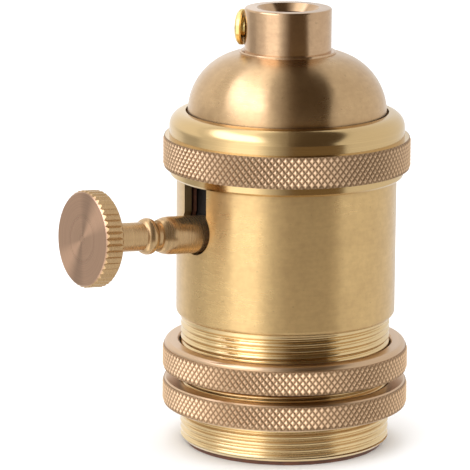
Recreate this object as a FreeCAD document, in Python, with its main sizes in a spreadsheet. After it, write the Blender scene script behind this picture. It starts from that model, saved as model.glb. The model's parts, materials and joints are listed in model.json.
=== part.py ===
"""Brass lamp holder with a turn-knob switch, two shade rings and an M10 cable entry.

The origin is on the axis at the lower edge of the threaded sleeve, +Z points to the
cable entry and the switch knob lies towards -X. All lengths are in millimetres.
"""

import FreeCAD, Part
import math
import os
import Sketcher

Vector = FreeCAD.Vector
UP = Vector(0, 0, 1)

# name, value, what it is
SIZES = (
    # body shell and its threaded sleeve
    ("shell_radius", 20.5, "outer radius of the body shell"),
    ("shell_wall", 1.5, "wall of the body shell"),
    ("shell_corner", 1.0, "rounding at the shell's lower corner"),
    ("shell_height", 33.2, "height of the shell above its sleeve"),
    ("union_thread_step", 0.6, "how far the thread under the union ring lies in"),
    ("union_thread_length", 6.0, "length of the thread under the union ring"),
    ("sleeve_step", 0.9, "how far the sleeve's thread lies in from the shell"),
    ("sleeve_wall", 1.1, "wall of the threaded sleeve"),
    ("sleeve_length", 23.8, "height of the sleeve up to the shell's corner"),
    ("sleeve_chamfer", 0.5, "chamfer at the sleeve's lower edge"),
    ("step_wall", 1.0, "thickness of the step between sleeve and shell"),
    ("thread_chamfer", 0.4, "chamfer at a thread's start"),
    # keyhole slot
    ("slot_gap", 0.14, "gap between the slot and the widest part of the barrel"),
    ("keyhole_swell", 0.94, "how much wider the round end is than the slot"),
    ("keyhole_rise", 2.26, "height of the round end above the switch axis"),
    # insulating liner
    ("liner_gap", 0.1, "clearance between liner and sleeve"),
    ("liner_wall", 0.5, "thickness of the fibre liner"),
    ("liner_reach", 0.9, "how far the liner stands out of the sleeve"),
    ("liner_top_gap", 0.2, "clearance between liner and housing flange"),
    # union ring
    ("running_gap", 0.3, "clearance between pieces that screw along each other"),
    ("ring_reach", 6.9, "how far the union ring reaches down over the shell"),
    ("skirt_wall", 1.2, "how far the union ring's skirt stands out beyond the shell"),
    ("shoulder_step", 0.2, "how far the shoulder stands out beyond the skirt"),
    ("ring_shoulder_round", 2.75, "rounding of the shoulder"),
    ("lip_gap", 0.39, "gap between the ring's lip and the dome"),
    ("ring_lip_height", 2.0, "thickness of the lip"),
    ("ring_edge", 0.4, "chamfer at the ring's lower edge"),
    ("skirt_height", 1.74, "height of the ring's skirt under the knurled band"),
    # knurl
    ("knurl_reach", 2.55, "how far the knurled bands stand out beyond the shell"),
    ("knurl_depth", 0.3, "depth of the grooves between the knurl's diamonds"),
    ("knurl_chamfer", 0.2, "how far the diamonds at a band's edges are turned down"),
    ("knurl_teeth", 120, "diamonds round a knurled band"),
    ("knurl_rows", 4, "rows of diamonds on the union ring"),
    ("shade_knurl_rows", 3, "rows of diamonds on a shade ring"),
    ("union_diamond", 1.445, "height of a diamond on the union ring"),
    ("shade_diamond", 1.45, "height of a diamond on the shade rings"),
    ("ring_chamfer", 0.3, "chamfer at the edges of a shade ring's bore"),
    # shade rings
    ("upper_ring_drop", 10.6, "how far the upper shade ring sits below the sleeve's top"),
    ("upper_ring_round", 0.85, "rounding above the upper ring's knurl"),
    ("shade_gap", 1.78, "gap between the two shade rings"),
    ("shade_land", 0.25, "plain edge beside a shade ring's knurl"),
    ("land_step", 0.1, "how far that edge lies inside the knurl's grooves"),
    # dome cap
    ("dome_flange_width", 1.35, "how far the dome's flange stands out"),
    ("dome_wall", 1.1, "wall of the dome"),
    ("dome_round", 11.3, "radius of the dome's shoulder curve"),
    ("dome_wall_height", 4.97, "height of the dome's straight wall above the shell"),
    ("seat_margin", 0.15, "width of the flat round the collar's foot"),
    ("dome_hole", 6.6, "radius of the hole for the collar's spigot"),
    ("dome_flange_height", 1.4, "thickness of the dome's flange"),
    ("flange_set", 0.05, "how far the clamped flanges stay inside the thread"),
    # neck collar
    ("neck_radius", 8.07, "outer radius of the neck"),
    ("neck_rise", 19.53, "height of the neck's end above the start of the dome's curve"),
    ("neck_edge", 0.35, "rounding of the neck's upper edge"),
    ("neck_bore", 4.46, "core radius of the M10 x 1 thread"),
    ("neck_mouth", 5.85, "radius of the countersunk mouth"),
    ("neck_foot_reach", 0.88, "how far the collar's foot stands out beyond the neck"),
    ("neck_foot_height", 0.4, "thickness of the collar's foot"),
    ("stake_reach", 0.5, "how far the staked edge grips the dome from inside"),
    ("stake_height", 0.7, "thickness of the staked edge"),
    # clamp screw
    ("clamp_bearing", 130.8, "direction of the clamp screw round the axis, degrees"),
    ("clamp_drop", 4.05, "how far the clamp screw lies below the neck's end"),
    ("clamp_head_radius", 3.35, "radius of the clamp screw's head"),
    ("clamp_head_height", 1.2, "thickness of the clamp screw's head"),
    ("clamp_head_gap", 0.22, "gap between the head and the neck"),
    ("clamp_shank_radius", 1.95, "radius of the clamp screw's shank"),
    ("clamp_fit", 0.05, "radial clearance of the clamp screw"),
    # switch axis and knob
    ("switch_rise", 15.64, "height of the switch axis above the sleeve"),
    ("switch_tilt", 4.3, "upward slope of the switch axis, degrees"),
    ("knob_reach", 13.75, "distance from the bead's middle to the knob's face"),
    ("knob_head_height", 3.7, "thickness of the knob's head"),
    ("knob_radius", 8.8, "radius of the knob's head"),
    ("knob_edge", 0.45, "chamfer of the knob's rim"),
    ("knob_teeth", 45, "teeth round the knob's rim"),
    ("knob_tooth_depth", 0.4, "depth of a tooth"),
    ("stem_radius", 2.65, "radius of the knob's stem"),
    ("bead_reach", 2.25, "distance from the barrel's end to the bead's middle"),
    ("bead_radius", 3.37, "radius of the bead"),
    ("bead_half_height", 1.3, "half the thickness of the bead"),
    ("waist_radius", 2.55, "radius of the waist between bead and barrel"),
    ("barrel_taper", 2.6, "length of the barrel's rounded end"),
    ("barrel_reach", 5.4, "how far the barrel's widest point stands out of the shell"),
    ("waist_step", 0.3, "depth of the waist's step behind the barrel"),
    ("barrel_swell", 0.07, "how much wider the barrel's crown is than its root"),
    ("barrel_root_radius", 3.45, "radius of the barrel's inner end"),
    ("root_gap", 0.65, "gap between the housing and the barrel"),
    ("spindle_radius", 1.6, "radius of the switch spindle"),
    ("spindle_fit", 0.08, "running clearance of the spindle and trunnion"),
    ("spindle_inner_end", 1.0, "distance of the spindle's inner end"),
    ("spindle_grip", 0.1, "how far the spindle reaches past the barrel's widest point"),
    ("push_fit", 0.02, "clearance of pieces pushed onto each other"),
    # switch housing and base
    ("housing_gap", 0.3, "clearance between housing and liner"),
    ("housing_flange_height", 1.8, "thickness of the housing's flange"),
    ("base_height", 7.3, "thickness of the base"),
    ("base_drop", 0.1, "how far the base reaches below the sleeve's top"),
    ("chamber_room", 5.2, "width of the switch chamber beside the rotor"),
    ("detent_room", 4.06, "height between the rotor and the chamber's ceiling"),
    # rotor and its contacts
    ("rotor_half_width", 4.0, "half the distance across the rotor's flats"),
    ("rotor_half_length", 6.0, "half the length of the rotor"),
    ("rotor_corner", 1.0, "rounding of the rotor's corners"),
    ("hub_radius", 3.0, "radius of the rotor's hub"),
    ("hub_end", 8.2, "distance of the hub's end"),
    ("trunnion_end", 12.2, "distance of the trunnion's end"),
    ("bridge_sheet", 0.5, "thickness of the bridge"),
    ("bridge_half_width", 3.0, "half the width of the bridge"),
    ("bridge_reach", 0.2, "where the bridge's cheeks end on the rotor"),
    ("leaf_sheet", 0.4, "thickness of the contact leaves"),
    ("leaf_width", 5.0, "width of the contact leaves"),
    ("leaf_station", 3.1, "distance of the leaves behind the body axis"),
    ("leaf_gap", 0.02, "gap between leaf and rotor"),
    ("leaf_stand", 6.6, "distance of the upright part of a leaf"),
    ("leaf_run", 5.0, "height over which a leaf slopes to the rotor"),
    ("leaf_tail", 3.5, "height of a leaf's free end past the rotor's middle"),
    ("detent_sheet", 0.35, "thickness of the detent spring"),
    ("detent_width", 4.0, "width of the detent spring"),
    ("detent_station", 3.6, "distance of the detent spring before the body axis"),
    ("detent_half_span", 7.1, "half the span of the detent spring"),
    # terminals and fasteners
    ("terminal_sheet", 1.2, "thickness of the line terminal"),
    ("terminal_inner", 8.0, "inner edge of the line terminal"),
    ("terminal_room", 2.4, "room between the line terminal and the wall of the dome"),
    ("terminal_width", 7.0, "width of the line terminal"),
    ("terminal_screw_inset", 2.9, "distance of a terminal screw from the terminal's outer edge"),
    ("terminal_screw_radius", 1.5, "shank radius of a terminal screw"),
    ("terminal_head_radius", 2.9, "head radius of a terminal screw"),
    ("terminal_head_height", 2.0, "head height of a terminal screw"),
    ("terminal_screw_length", 7.0, "shank length of a terminal screw"),
    ("hole_fit", 0.1, "clearance of a fastener in its hole"),
    ("strap_sheet", 0.6, "thickness of the neutral strap"),
    ("strap_width", 6.0, "width of the neutral strap"),
    ("strap_inner", 7.7, "inner end of the strap's feet"),
    ("strap_groove_gap", 0.1, "clearance of the strap in its groove"),
    ("bolt_circle", 11.7, "distance of the assembly screws from the axis"),
    ("bolt_radius", 1.45, "shank radius of an assembly screw"),
    ("bolt_head_radius", 2.6, "head radius of an assembly screw"),
    ("bolt_head_height", 1.8, "head height of an assembly screw"),
    ("bolt_cover", 2.3, "thickness left under an assembly screw's tip"),
    ("rivet_place", 9.5, "distance of the shell rivets from the axis"),
    ("rivet_radius", 1.1, "shank radius of a rivet"),
    ("rivet_head_radius", 2.0, "head radius of a rivet"),
    ("rivet_head_height", 0.7, "head height of a rivet"),
    # lamp socket
    ("thread_minor", 12.2, "inner radius of the lamp thread's crests"),
    ("thread_depth", 1.1, "depth of the lamp thread"),
    ("thread_pitch", 3.629, "pitch of the lamp thread"),
    ("thread_plain", 3.136, "height of the screw shell outside its thread"),
    ("socket_sheet", 0.4, "sheet of the screw shell"),
    ("socket_mouth", 2.4, "height of the screw shell's open edge"),
    ("socket_end", 5.1, "height of the screw shell's narrow end"),
    ("socket_step", 0.4, "how much narrower the screw shell's end is"),
    ("socket_hole", 6.6, "radius of the hole in the screw shell's end"),
    ("contact_sheet", 0.5, "thickness of the centre contact"),
    ("contact_width", 7.0, "width of the centre contact"),
    ("contact_reach", 4.6, "distance of the centre contact's fold"),
    ("contact_rivet_station", 2.2, "distance of the contact rivet from the axis"),
    ("contact_drop", 4.3, "how far the centre contact reaches below the base"),
)


class Size:
    """A size that knows its present value and the spreadsheet rule that gives it."""

    def __init__(self, value, rule):
        self.value = float(value)
        self.rule = rule

    def __add__(self, other):
        other = as_size(other)
        return Size(self.value + other.value, "(%s + %s)" % (self.rule, other.rule))

    def __sub__(self, other):
        other = as_size(other)
        return Size(self.value - other.value, "(%s - %s)" % (self.rule, other.rule))

    def __mul__(self, other):
        other = as_size(other)
        return Size(self.value * other.value, "(%s * %s)" % (self.rule, other.rule))

    def __truediv__(self, other):
        other = as_size(other)
        return Size(self.value / other.value, "(%s / %s)" % (self.rule, other.rule))

    def __radd__(self, other):
        return as_size(other) + self

    def __rsub__(self, other):
        return as_size(other) - self

    def __rmul__(self, other):
        return as_size(other) * self

    def __neg__(self):
        return Size(-self.value, "(0 - %s)" % self.rule)


def as_size(number):
    """A Size as it is, or a plain number as a Size."""
    if isinstance(number, Size):
        return number
    return Size(number, "%r" % number if number >= 0 else "(0 - %r)" % -number)


def root(size):
    return Size(math.sqrt(size.value), "sqrt(%s)" % size.rule)


def sine(angle):
    return Size(math.sin(math.radians(angle.value)), "sin(%s * 1 deg)" % angle.rule)


def cosine(angle):
    return Size(math.cos(math.radians(angle.value)), "cos(%s * 1 deg)" % angle.rule)


def leg(long_side, short_side):
    """The third side of a right-angled triangle."""
    return root(long_side * long_side - short_side * short_side)


doc = FreeCAD.newDocument("LampHolder")
sheet = doc.addObject("Spreadsheet::Sheet", "Sizes")
size = {}
for row, (alias, value, meaning) in enumerate(SIZES, start=1):
    sheet.set("A%d" % row, meaning)
    sheet.set("B%d" % row, str(value))
    sheet.setAlias("B%d" % row, alias)
doc.recompute()
for alias, value, meaning in SIZES:
    size[alias] = Size(sheet.get(alias), "Sizes.%s" % alias)

# sizes that follow from others
size["shell_bore"] = size["shell_radius"] - size["shell_wall"]
size["shell_top"] = size["sleeve_length"] + size["shell_height"]
size["union_thread_radius"] = size["shell_radius"] - size["union_thread_step"]
size["sleeve_radius"] = size["shell_radius"] - size["sleeve_step"]
size["sleeve_bore"] = size["sleeve_radius"] - size["sleeve_wall"]
size["ring_bottom"] = size["shell_top"] - size["ring_reach"]
size["ring_skirt_radius"] = size["shell_radius"] + size["skirt_wall"]
size["ring_shoulder_radius"] = size["ring_skirt_radius"] + size["shoulder_step"]
size["union_band_bottom"] = size["ring_bottom"] + size["skirt_height"]
size["knurl_radius"] = size["shell_radius"] + size["knurl_reach"]
size["shade_ring_bore"] = size["sleeve_radius"] + size["running_gap"]
size["upper_ring_bottom"] = size["sleeve_length"] - size["upper_ring_drop"]
size["lower_ring_height"] = (
    size["shade_knurl_rows"] * size["shade_diamond"] + size["shade_land"] * 2
)
size["dome_spring"] = size["shell_top"] + size["dome_wall_height"]
size["flange_reach"] = size["union_thread_radius"] - size["flange_set"]
size["neck_top"] = size["dome_spring"] + size["neck_rise"]
size["neck_foot_radius"] = size["neck_radius"] + size["neck_foot_reach"]
size["clamp_height"] = size["neck_top"] - size["clamp_drop"]
size["switch_height"] = size["sleeve_length"] + size["switch_rise"]
size["barrel_crown"] = size["shell_radius"] + size["barrel_reach"]
size["barrel_mouth_radius"] = size["waist_radius"] + size["waist_step"]
size["barrel_crown_radius"] = size["barrel_root_radius"] + size["barrel_swell"]
size["spindle_outer_end"] = size["barrel_crown"] + size["spindle_grip"]
size["housing_radius"] = (
    size["sleeve_bore"] - size["liner_gap"] - size["liner_wall"] - size["housing_gap"]
)
size["base_bottom"] = size["sleeve_length"] - size["base_drop"]
size["chamber_radius"] = size["rotor_half_width"] + size["chamber_room"]
size["chamber_top"] = size["switch_height"] + size["rotor_half_width"] + size["detent_room"]
size["bolt_tip"] = size["base_bottom"] + size["bolt_cover"]
size["socket_neck"] = size["base_bottom"] - size["socket_end"]
size["socket_neck_radius"] = size["thread_minor"] - size["socket_step"]
size["contact_tip"] = size["base_bottom"] - size["contact_drop"]
size["slot_half_width"] = size["barrel_crown_radius"] + size["slot_gap"]
size["keyhole_radius"] = size["slot_half_width"] + size["keyhole_swell"]
size["keyhole_height"] = size["switch_height"] + size["keyhole_rise"]
size["lower_ring_bottom"] = (
    size["upper_ring_bottom"] - size["shade_gap"] - size["lower_ring_height"]
)
size["dome_radius"] = size["flange_reach"] - size["dome_flange_width"]
size["dome_seat_radius"] = size["neck_foot_radius"] + size["seat_margin"]
size["barrel_end"] = size["barrel_crown"] + size["barrel_taper"]
size["barrel_root"] = size["housing_radius"] + size["root_gap"]
size["base_top"] = size["base_bottom"] + size["base_height"]
size["thread_turns"] = (
    (size["socket_neck"] - size["socket_mouth"] - size["thread_plain"]) / size["thread_pitch"]
)
size["ring_lip_radius"] = size["dome_radius"] + size["lip_gap"]
size["terminal_outer"] = size["dome_radius"] - size["dome_wall"] - size["terminal_room"]
size["terminal_screw_place"] = size["terminal_outer"] - size["terminal_screw_inset"]
size["bead_station"] = size["barrel_end"] + size["bead_reach"]
size["knob_face"] = size["bead_station"] + size["knob_reach"]

SIDE = size["slot_half_width"]
ROUND = size["keyhole_radius"]


# ---------------------------------------------------------------- sketches


def origin_plane(body, role):
    return [f for f in body.Origin.OriginFeatures if f.Role == role][0]


def new_sketch(body, name, role, lift=0):
    """An empty sketch on one of the body's own planes, lifted along its normal."""
    sketch = body.newObject("Sketcher::SketchObject", name)
    sketch.AttachmentSupport = [(origin_plane(body, role), "")]
    sketch.MapMode = "FlatFace"
    lift = as_size(lift)
    sketch.AttachmentOffset = FreeCAD.Placement(Vector(0, 0, lift.value), FreeCAD.Rotation())
    sketch.setExpression("AttachmentOffset.Base.z", lift.rule)
    return sketch


def bind(sketch, kind, geometry, point, amount):
    """One dimension of the sketch, driven by the spreadsheet."""
    if kind == "Radius":
        index = sketch.addConstraint(Sketcher.Constraint(kind, geometry, amount.value))
    elif abs(amount.value) < 1e-9 and amount.rule in ("0", "0.0"):
        axis = -2 if kind == "DistanceX" else -1
        sketch.addConstraint(Sketcher.Constraint("PointOnObject", geometry, point, axis))
        return
    else:
        index = sketch.addConstraint(
            Sketcher.Constraint(kind, -1, 1, geometry, point, amount.value)
        )
    sketch.setExpression("Constraints[%d]" % index, amount.rule)


def arc_between(start, end, radius, turn, major=False):
    """The arc from start to end; turn is 1 for anticlockwise and -1 for clockwise."""
    chord = end - start
    half = chord.Length / 2
    side = Vector(-chord.y, chord.x, 0).normalize()
    rise = math.sqrt(max(radius * radius - half * half, 0))
    centre = (start + end) / 2 + side * rise * turn * (-1 if major else 1)
    first, last = (start, end) if turn > 0 else (end, start)
    a = math.atan2(first.y - centre.y, first.x - centre.x)
    b = math.atan2(last.y - centre.y, last.x - centre.x)
    if b <= a:
        b += 2 * math.pi
    return Part.ArcOfCircle(Part.Circle(centre, UP, radius), a, b)


def draw_loop(sketch, corners):
    """A closed loop through corners (x, y) or (x, y, arc to the next corner).

    An arc is (radius, turn) or (radius, turn, True) for the longer way round.
    """
    count = len(corners)
    places = [(as_size(c[0]), as_size(c[1])) for c in corners]
    points = [Vector(x.value, y.value, 0) for x, y in places]
    starts, ends = [], []
    first = sketch.GeometryCount
    for i, corner in enumerate(corners):
        start, end = points[i], points[(i + 1) % count]
        if len(corner) == 3:
            radius, turn = as_size(corner[2][0]), corner[2][1]
            sketch.addGeometry(arc_between(start, end, radius.value, turn, len(corner[2]) == 3))
            bind(sketch, "Radius", first + i, 0, radius)
            starts.append(1 if turn > 0 else 2)
            ends.append(2 if turn > 0 else 1)
        else:
            sketch.addGeometry(Part.LineSegment(start, end))
            starts.append(1)
            ends.append(2)
    for i in range(count):
        j = (i + 1) % count
        sketch.addConstraint(
            Sketcher.Constraint("Coincident", first + i, ends[i], first + j, starts[j])
        )
    for i, (x, y) in enumerate(places):
        bind(sketch, "DistanceX", first + i, starts[i], x)
        bind(sketch, "DistanceY", first + i, starts[i], y)


def draw_circle(sketch, x, y, radius):
    x, y, radius = as_size(x), as_size(y), as_size(radius)
    circle = Part.Circle(Vector(x.value, y.value, 0), UP, radius.value)
    index = sketch.addGeometry(circle)
    bind(sketch, "Radius", index, 0, radius)
    bind(sketch, "DistanceX", index, 3, x)
    bind(sketch, "DistanceY", index, 3, y)


# ---------------------------------------------------------------- features


def new_body(name):
    body = doc.addObject("PartDesign::Body", "%s_body" % name)
    body.Label = name
    return body


def revolve(body, name, corners):
    """A solid turned about the body's Z axis from corners (radius, height)."""
    sketch = new_sketch(body, name + "_profile", "XZ_Plane")
    draw_loop(sketch, corners)
    feature = body.newObject("PartDesign::Revolution", name)
    feature.Profile = sketch
    feature.ReferenceAxis = (sketch, ["V_Axis"])
    feature.Angle = 360
    body.Tip = feature
    return feature


def pad(body, name, sketch, length, symmetric=False):
    feature = body.newObject("PartDesign::Pad", name)
    feature.Profile = sketch
    feature.Type = "Length"
    feature.SideType = "Symmetric" if symmetric else "One side"
    length = as_size(length)
    feature.Length = length.value
    feature.setExpression("Length", length.rule)
    body.Tip = feature
    return feature


def pocket(body, name, sketch, depth=None, upwards=False, symmetric=False):
    """Cuts the sketch out of the body, downwards along its normal unless told otherwise."""
    doc.recompute()
    before = body.Shape.Volume
    feature = body.newObject("PartDesign::Pocket", name)
    feature.Profile = sketch
    feature.Reversed = upwards
    feature.SideType = "Symmetric" if symmetric else "One side"
    if depth is None:
        feature.Type = "ThroughAll"
    else:
        depth = as_size(depth)
        feature.Type = "Length"
        feature.Length = depth.value
        feature.setExpression("Length", depth.rule)
    body.Tip = feature
    doc.recompute()
    if feature.Shape.Volume > before - 1e-6:
        raise ValueError("%s cuts nothing" % name)
    return feature


def drill(body, name, lift, holes, depth=None, upwards=False):
    """Round holes (x, y, radius) that start at height lift."""
    sketch = new_sketch(body, name + "_circles", "XY_Plane", lift)
    for x, y, radius in holes:
        draw_circle(sketch, x, y, radius)
    return pocket(body, name, sketch, depth, upwards)


def box_loop(x0, x1, y0, y1):
    return [(x0, y0), (x1, y0), (x1, y1), (x0, y1)]


def bent_strip(name, corners, width, station):
    """Sheet bent along an outline (y, z), of the given width, centred on x = station."""
    body = new_body(name)
    sketch = new_sketch(body, name + "_outline", "YZ_Plane", station)
    draw_loop(sketch, corners)
    pad(body, name + "_strip", sketch, width, symmetric=True)
    return body


def lay_on_switch_axis(body):
    """Turns a body made along +Z so that it lies along the sloping switch axis."""
    height, tilt = size["switch_height"], size["switch_tilt"]
    turn = FreeCAD.Rotation(Vector(0, 1, 0), tilt.value - 90)
    body.Placement = FreeCAD.Placement(Vector(0, 0, height.value), turn)
    body.setExpression("Placement.Base.z", height.rule)
    body.setExpression("Placement.Rotation.Angle", (tilt - 90).rule)


def placed_cylinder(name, radius, height, base, axis=UP, angle=0):
    """A cutter or a rod; base is its foot, angle turns it about axis."""
    rod = doc.addObject("Part::Cylinder", name)
    radius, height, angle = as_size(radius), as_size(height), as_size(angle)
    rod.Radius = radius.value
    rod.Height = height.value
    rod.setExpression("Radius", radius.rule)
    rod.setExpression("Height", height.rule)
    foot = [as_size(c) for c in base]
    spot = Vector(*[c.value for c in foot])
    rod.Placement = FreeCAD.Placement(spot, FreeCAD.Rotation(axis, angle.value))
    for letter, c in zip("xyz", foot):
        rod.setExpression("Placement.Base.%s" % letter, c.rule)
    rod.setExpression("Placement.Rotation.Angle", angle.rule)
    return rod


def cut(name, base, tool):
    """Base less tool, as the finished sub-part of this name."""
    result = doc.addObject("Part::Cut", name + "_cut")
    result.Base = base
    result.Tool = tool
    base.Label = name + "_blank"
    result.Label = name
    doc.recompute()
    if result.Shape.Volume > base.Shape.Volume - 1e-6:
        raise ValueError("%s: its cut removes nothing" % name)
    return result


# ---------------------------------------------------------------- shared places

LINER_RADIUS = size["sleeve_bore"] - size["liner_gap"]
LINER_BORE = LINER_RADIUS - size["liner_wall"]
FLANGE_TOP = size["shell_top"] + size["housing_flange_height"]
DOME_FLANGE_TOP = FLANGE_TOP + size["dome_flange_height"]
RING_TOP = DOME_FLANGE_TOP + size["ring_lip_height"]
SHOULDER = size["shell_top"] - size["union_thread_length"]
DOME_CENTRE = size["dome_radius"] - size["dome_round"]
SEAT_HEIGHT = size["dome_spring"] + leg(
    size["dome_round"], size["dome_seat_radius"] - DOME_CENTRE
)
DOME_CEILING = size["dome_spring"] + size["dome_round"] - size["dome_wall"]
CLAMP_SEAT = size["neck_radius"] + size["clamp_head_gap"]
DOME_BORE = size["dome_radius"] - size["dome_wall"]
STRAP_LEG = leg(DOME_BORE, size["strap_width"] / 2) - size["strap_groove_gap"]


def keyhole(body, name, top):
    """The slot for the switch barrel, open at the top, through the wall towards -X."""
    turning = size["keyhole_height"] + leg(ROUND, SIDE)
    sketch = new_sketch(body, name + "_outline", "YZ_Plane")
    draw_loop(
        sketch,
        [
            (SIDE, top + 1),
            (-SIDE, top + 1),
            (-SIDE, turning, (ROUND, 1, True)),
            (SIDE, turning),
        ],
    )
    pocket(body, name, sketch)


# ---------------------------------------------------------------- shell and rings


def body_shell():
    r, thread = size["shell_radius"], size["union_thread_radius"]
    corner, chamfer = size["shell_corner"], size["thread_chamfer"]
    sleeve, foot = size["sleeve_radius"], size["sleeve_chamfer"]
    length, top = size["sleeve_length"], size["shell_top"]
    step = length + size["step_wall"]
    body = new_body("body_shell")
    revolve(
        body,
        "shell_turning",
        [
            (size["sleeve_bore"], 0),
            (sleeve - foot, 0),
            (sleeve, foot),
            (sleeve, length),
            (r - corner, length, (corner, 1)),
            (r, length + corner),
            (r, SHOULDER),
            (thread, SHOULDER),
            (thread, top - chamfer),
            (thread - chamfer, top),
            (size["shell_bore"], top),
            (size["shell_bore"], step),
            (size["sleeve_bore"], step),
        ],
    )
    keyhole(body, "shell_keyhole", top)
    return body


def insulating_liner():
    top = size["shell_top"] - size["liner_top_gap"]
    body = new_body("insulating_liner")
    revolve(
        body,
        "liner_tube",
        [
            (LINER_BORE, -size["liner_reach"]),
            (LINER_RADIUS, -size["liner_reach"]),
            (LINER_RADIUS, top),
            (LINER_BORE, top),
        ],
    )
    keyhole(body, "liner_keyhole", top)
    return body


def knurl_facets(low, row, rows):
    """Flat facets of crossed grooves: diamonds with their points on the crest radius.

    Points and groove crossings alternate round each level and swap from one level to
    the next, so that every diamond has four facets.
    """
    crest = size["knurl_radius"].value
    root, edge = crest - size["knurl_depth"].value, crest - size["knurl_chamfer"].value
    places = int(size["knurl_teeth"].value) * 2
    levels = rows * 2

    def corner(place, level):
        pointed = (place + level) % 2 == 0
        at_edge = level in (0, levels)
        radius = (edge if at_edge else crest) if pointed else root
        turn = math.pi * 2 * (place % places) / places
        height = low + row * level / 2
        return Vector(radius * math.cos(turn), radius * math.sin(turn), height)

    facets = []
    for level in range(levels):
        for place in range(places):
            low_left, low_right = corner(place, level), corner(place + 1, level)
            high_left, high_right = corner(place, level + 1), corner(place + 1, level + 1)
            if (place + level) % 2 == 0:
                facets += [(low_left, low_right, high_left), (high_right, high_left, low_right)]
            else:
                facets += [(low_right, high_right, low_left), (high_left, low_left, high_right)]
    faces = [Part.Face(Part.makePolygon(list(facet) + [facet[0]])) for facet in facets]
    rims = [[corner(place, level) for place in range(places)] for level in (0, levels)]
    return faces, rims


def straight(*corners):
    """Edges through (radius, height) corners, as seen in section."""
    points = [Vector(x.value, 0, y.value) for x, y in corners]
    return [Part.makeLine(start, end) for start, end in zip(points, points[1:])]


def quarter_round(radius, height, bend):
    """A quarter circle that ends the outside radius at its top height."""
    x, z, r = (radius - bend).value, (height - bend).value, bend.value
    half = r * math.sqrt(0.5)
    ends = Vector(x + r, 0, z), Vector(x + half, 0, z + half), Vector(x, 0, z + r)
    return [Part.Arc(*ends).toShape()]


def knurled_ring(name, low, row, rows, outline):
    """A ring whose turned outline runs from above its knurled band round to below it."""
    faces, rims = knurl_facets(low.value, row.value, int(rows.value))
    ends = outline[-1].Vertexes[-1].Point, outline[0].Vertexes[0].Point
    for rim, end in zip(rims, ends):
        inner = Part.Wire(Part.makeCircle(end.x, Vector(0, 0, end.z)))
        inner.reverse()
        faces.append(Part.Face([Part.makePolygon(rim + rim[:1]), inner]))
    for edge in outline:
        faces += edge.revolve(Vector(), UP, 360).Faces
    skin = Part.makeShell(faces)
    skin.sewShape()
    solid = Part.Solid(skin)
    if solid.Volume < 0:
        solid.reverse()
    if not solid.isClosed():
        raise ValueError("%s isn't closed" % name)
    feature = doc.addObject("Part::Feature", name + "_knurled")
    feature.Label = name
    feature.Shape = solid
    feature.Placement = FreeCAD.Placement(Vector(), FreeCAD.Rotation())
    return feature


def union_ring():
    skirt, shoulder = size["ring_skirt_radius"], size["ring_shoulder_radius"]
    low, bend = size["union_band_bottom"], size["ring_shoulder_round"]
    row, rows = size["union_diamond"], size["knurl_rows"]
    foot, gap, bottom = size["ring_edge"], size["running_gap"], size["ring_bottom"]
    skirt_bore = size["shell_radius"] + gap
    thread_bore = size["union_thread_radius"] + gap
    outline = straight((shoulder, low + row * rows), (shoulder, RING_TOP - bend))
    outline += quarter_round(shoulder, RING_TOP, bend)
    outline += straight(
        (shoulder - bend, RING_TOP),
        (size["ring_lip_radius"], RING_TOP),
        (size["ring_lip_radius"], DOME_FLANGE_TOP),
        (thread_bore, DOME_FLANGE_TOP),
        (thread_bore, SHOULDER + gap),
        (skirt_bore, SHOULDER + gap),
        (skirt_bore, bottom),
        (skirt - foot, bottom),
        (skirt, bottom + foot),
        (skirt, low),
    )
    return knurled_ring("union_ring", low, row, rows, outline)


def shade_ring_bore(top, bottom, rim):
    """The bore and flat sides of a shade ring, from its top rim to its bottom one."""
    bore, edge = size["shade_ring_bore"], size["ring_chamfer"]
    return straight(
        (rim, top),
        (bore + edge, top),
        (bore, top - edge),
        (bore, bottom + edge),
        (bore + edge, bottom),
    )


def upper_shade_ring():
    """The ring above the shade, with a rounded shoulder over its knurl."""
    rim = size["knurl_radius"] - size["knurl_depth"] - size["land_step"]
    bottom, land = size["upper_ring_bottom"], size["shade_land"]
    row, rows, bend = size["shade_diamond"], size["shade_knurl_rows"], size["upper_ring_round"]
    low = bottom + land
    high = low + row * rows
    top = high + land / 2 + bend
    outline = straight((rim, high), (rim, top - bend)) + quarter_round(rim, top, bend)
    outline += shade_ring_bore(top, bottom, rim - bend)
    outline += straight(
        (size["shade_ring_bore"] + size["ring_chamfer"], bottom), (rim - land, bottom), (rim, low)
    )
    return knurled_ring("upper_shade_ring", low, row, rows, outline)


def lower_shade_ring():
    """The ring below the shade, flat on both sides."""
    rim = size["knurl_radius"] - size["knurl_depth"] - size["land_step"]
    bottom, land = size["lower_ring_bottom"], size["shade_land"]
    row, rows = size["shade_diamond"], size["shade_knurl_rows"]
    low = bottom + land
    high = low + row * rows
    outline = straight((rim, high), (rim - land, high + land))
    outline += shade_ring_bore(high + land, bottom, rim - land)
    outline += straight(
        (size["shade_ring_bore"] + size["ring_chamfer"], bottom), (rim - land, bottom), (rim, low)
    )
    return knurled_ring("lower_shade_ring", low, row, rows, outline)


# ---------------------------------------------------------------- dome and neck


def dome_cap():
    r, wall, bend = size["dome_radius"], size["dome_wall"], size["dome_round"]
    spring = size["dome_spring"]
    body = new_body("dome_cap")
    revolve(
        body,
        "dome_spinning",
        [
            (r - wall, FLANGE_TOP),
            (size["flange_reach"], FLANGE_TOP),
            (size["flange_reach"], DOME_FLANGE_TOP),
            (r, DOME_FLANGE_TOP),
            (r, spring, (bend, 1)),
            (size["dome_seat_radius"], SEAT_HEIGHT),
            (size["dome_hole"], SEAT_HEIGHT),
            (size["dome_hole"], DOME_CEILING),
            (DOME_CENTRE, DOME_CEILING, (bend - wall, -1)),
            (r - wall, spring),
        ],
    )
    return body


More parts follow.
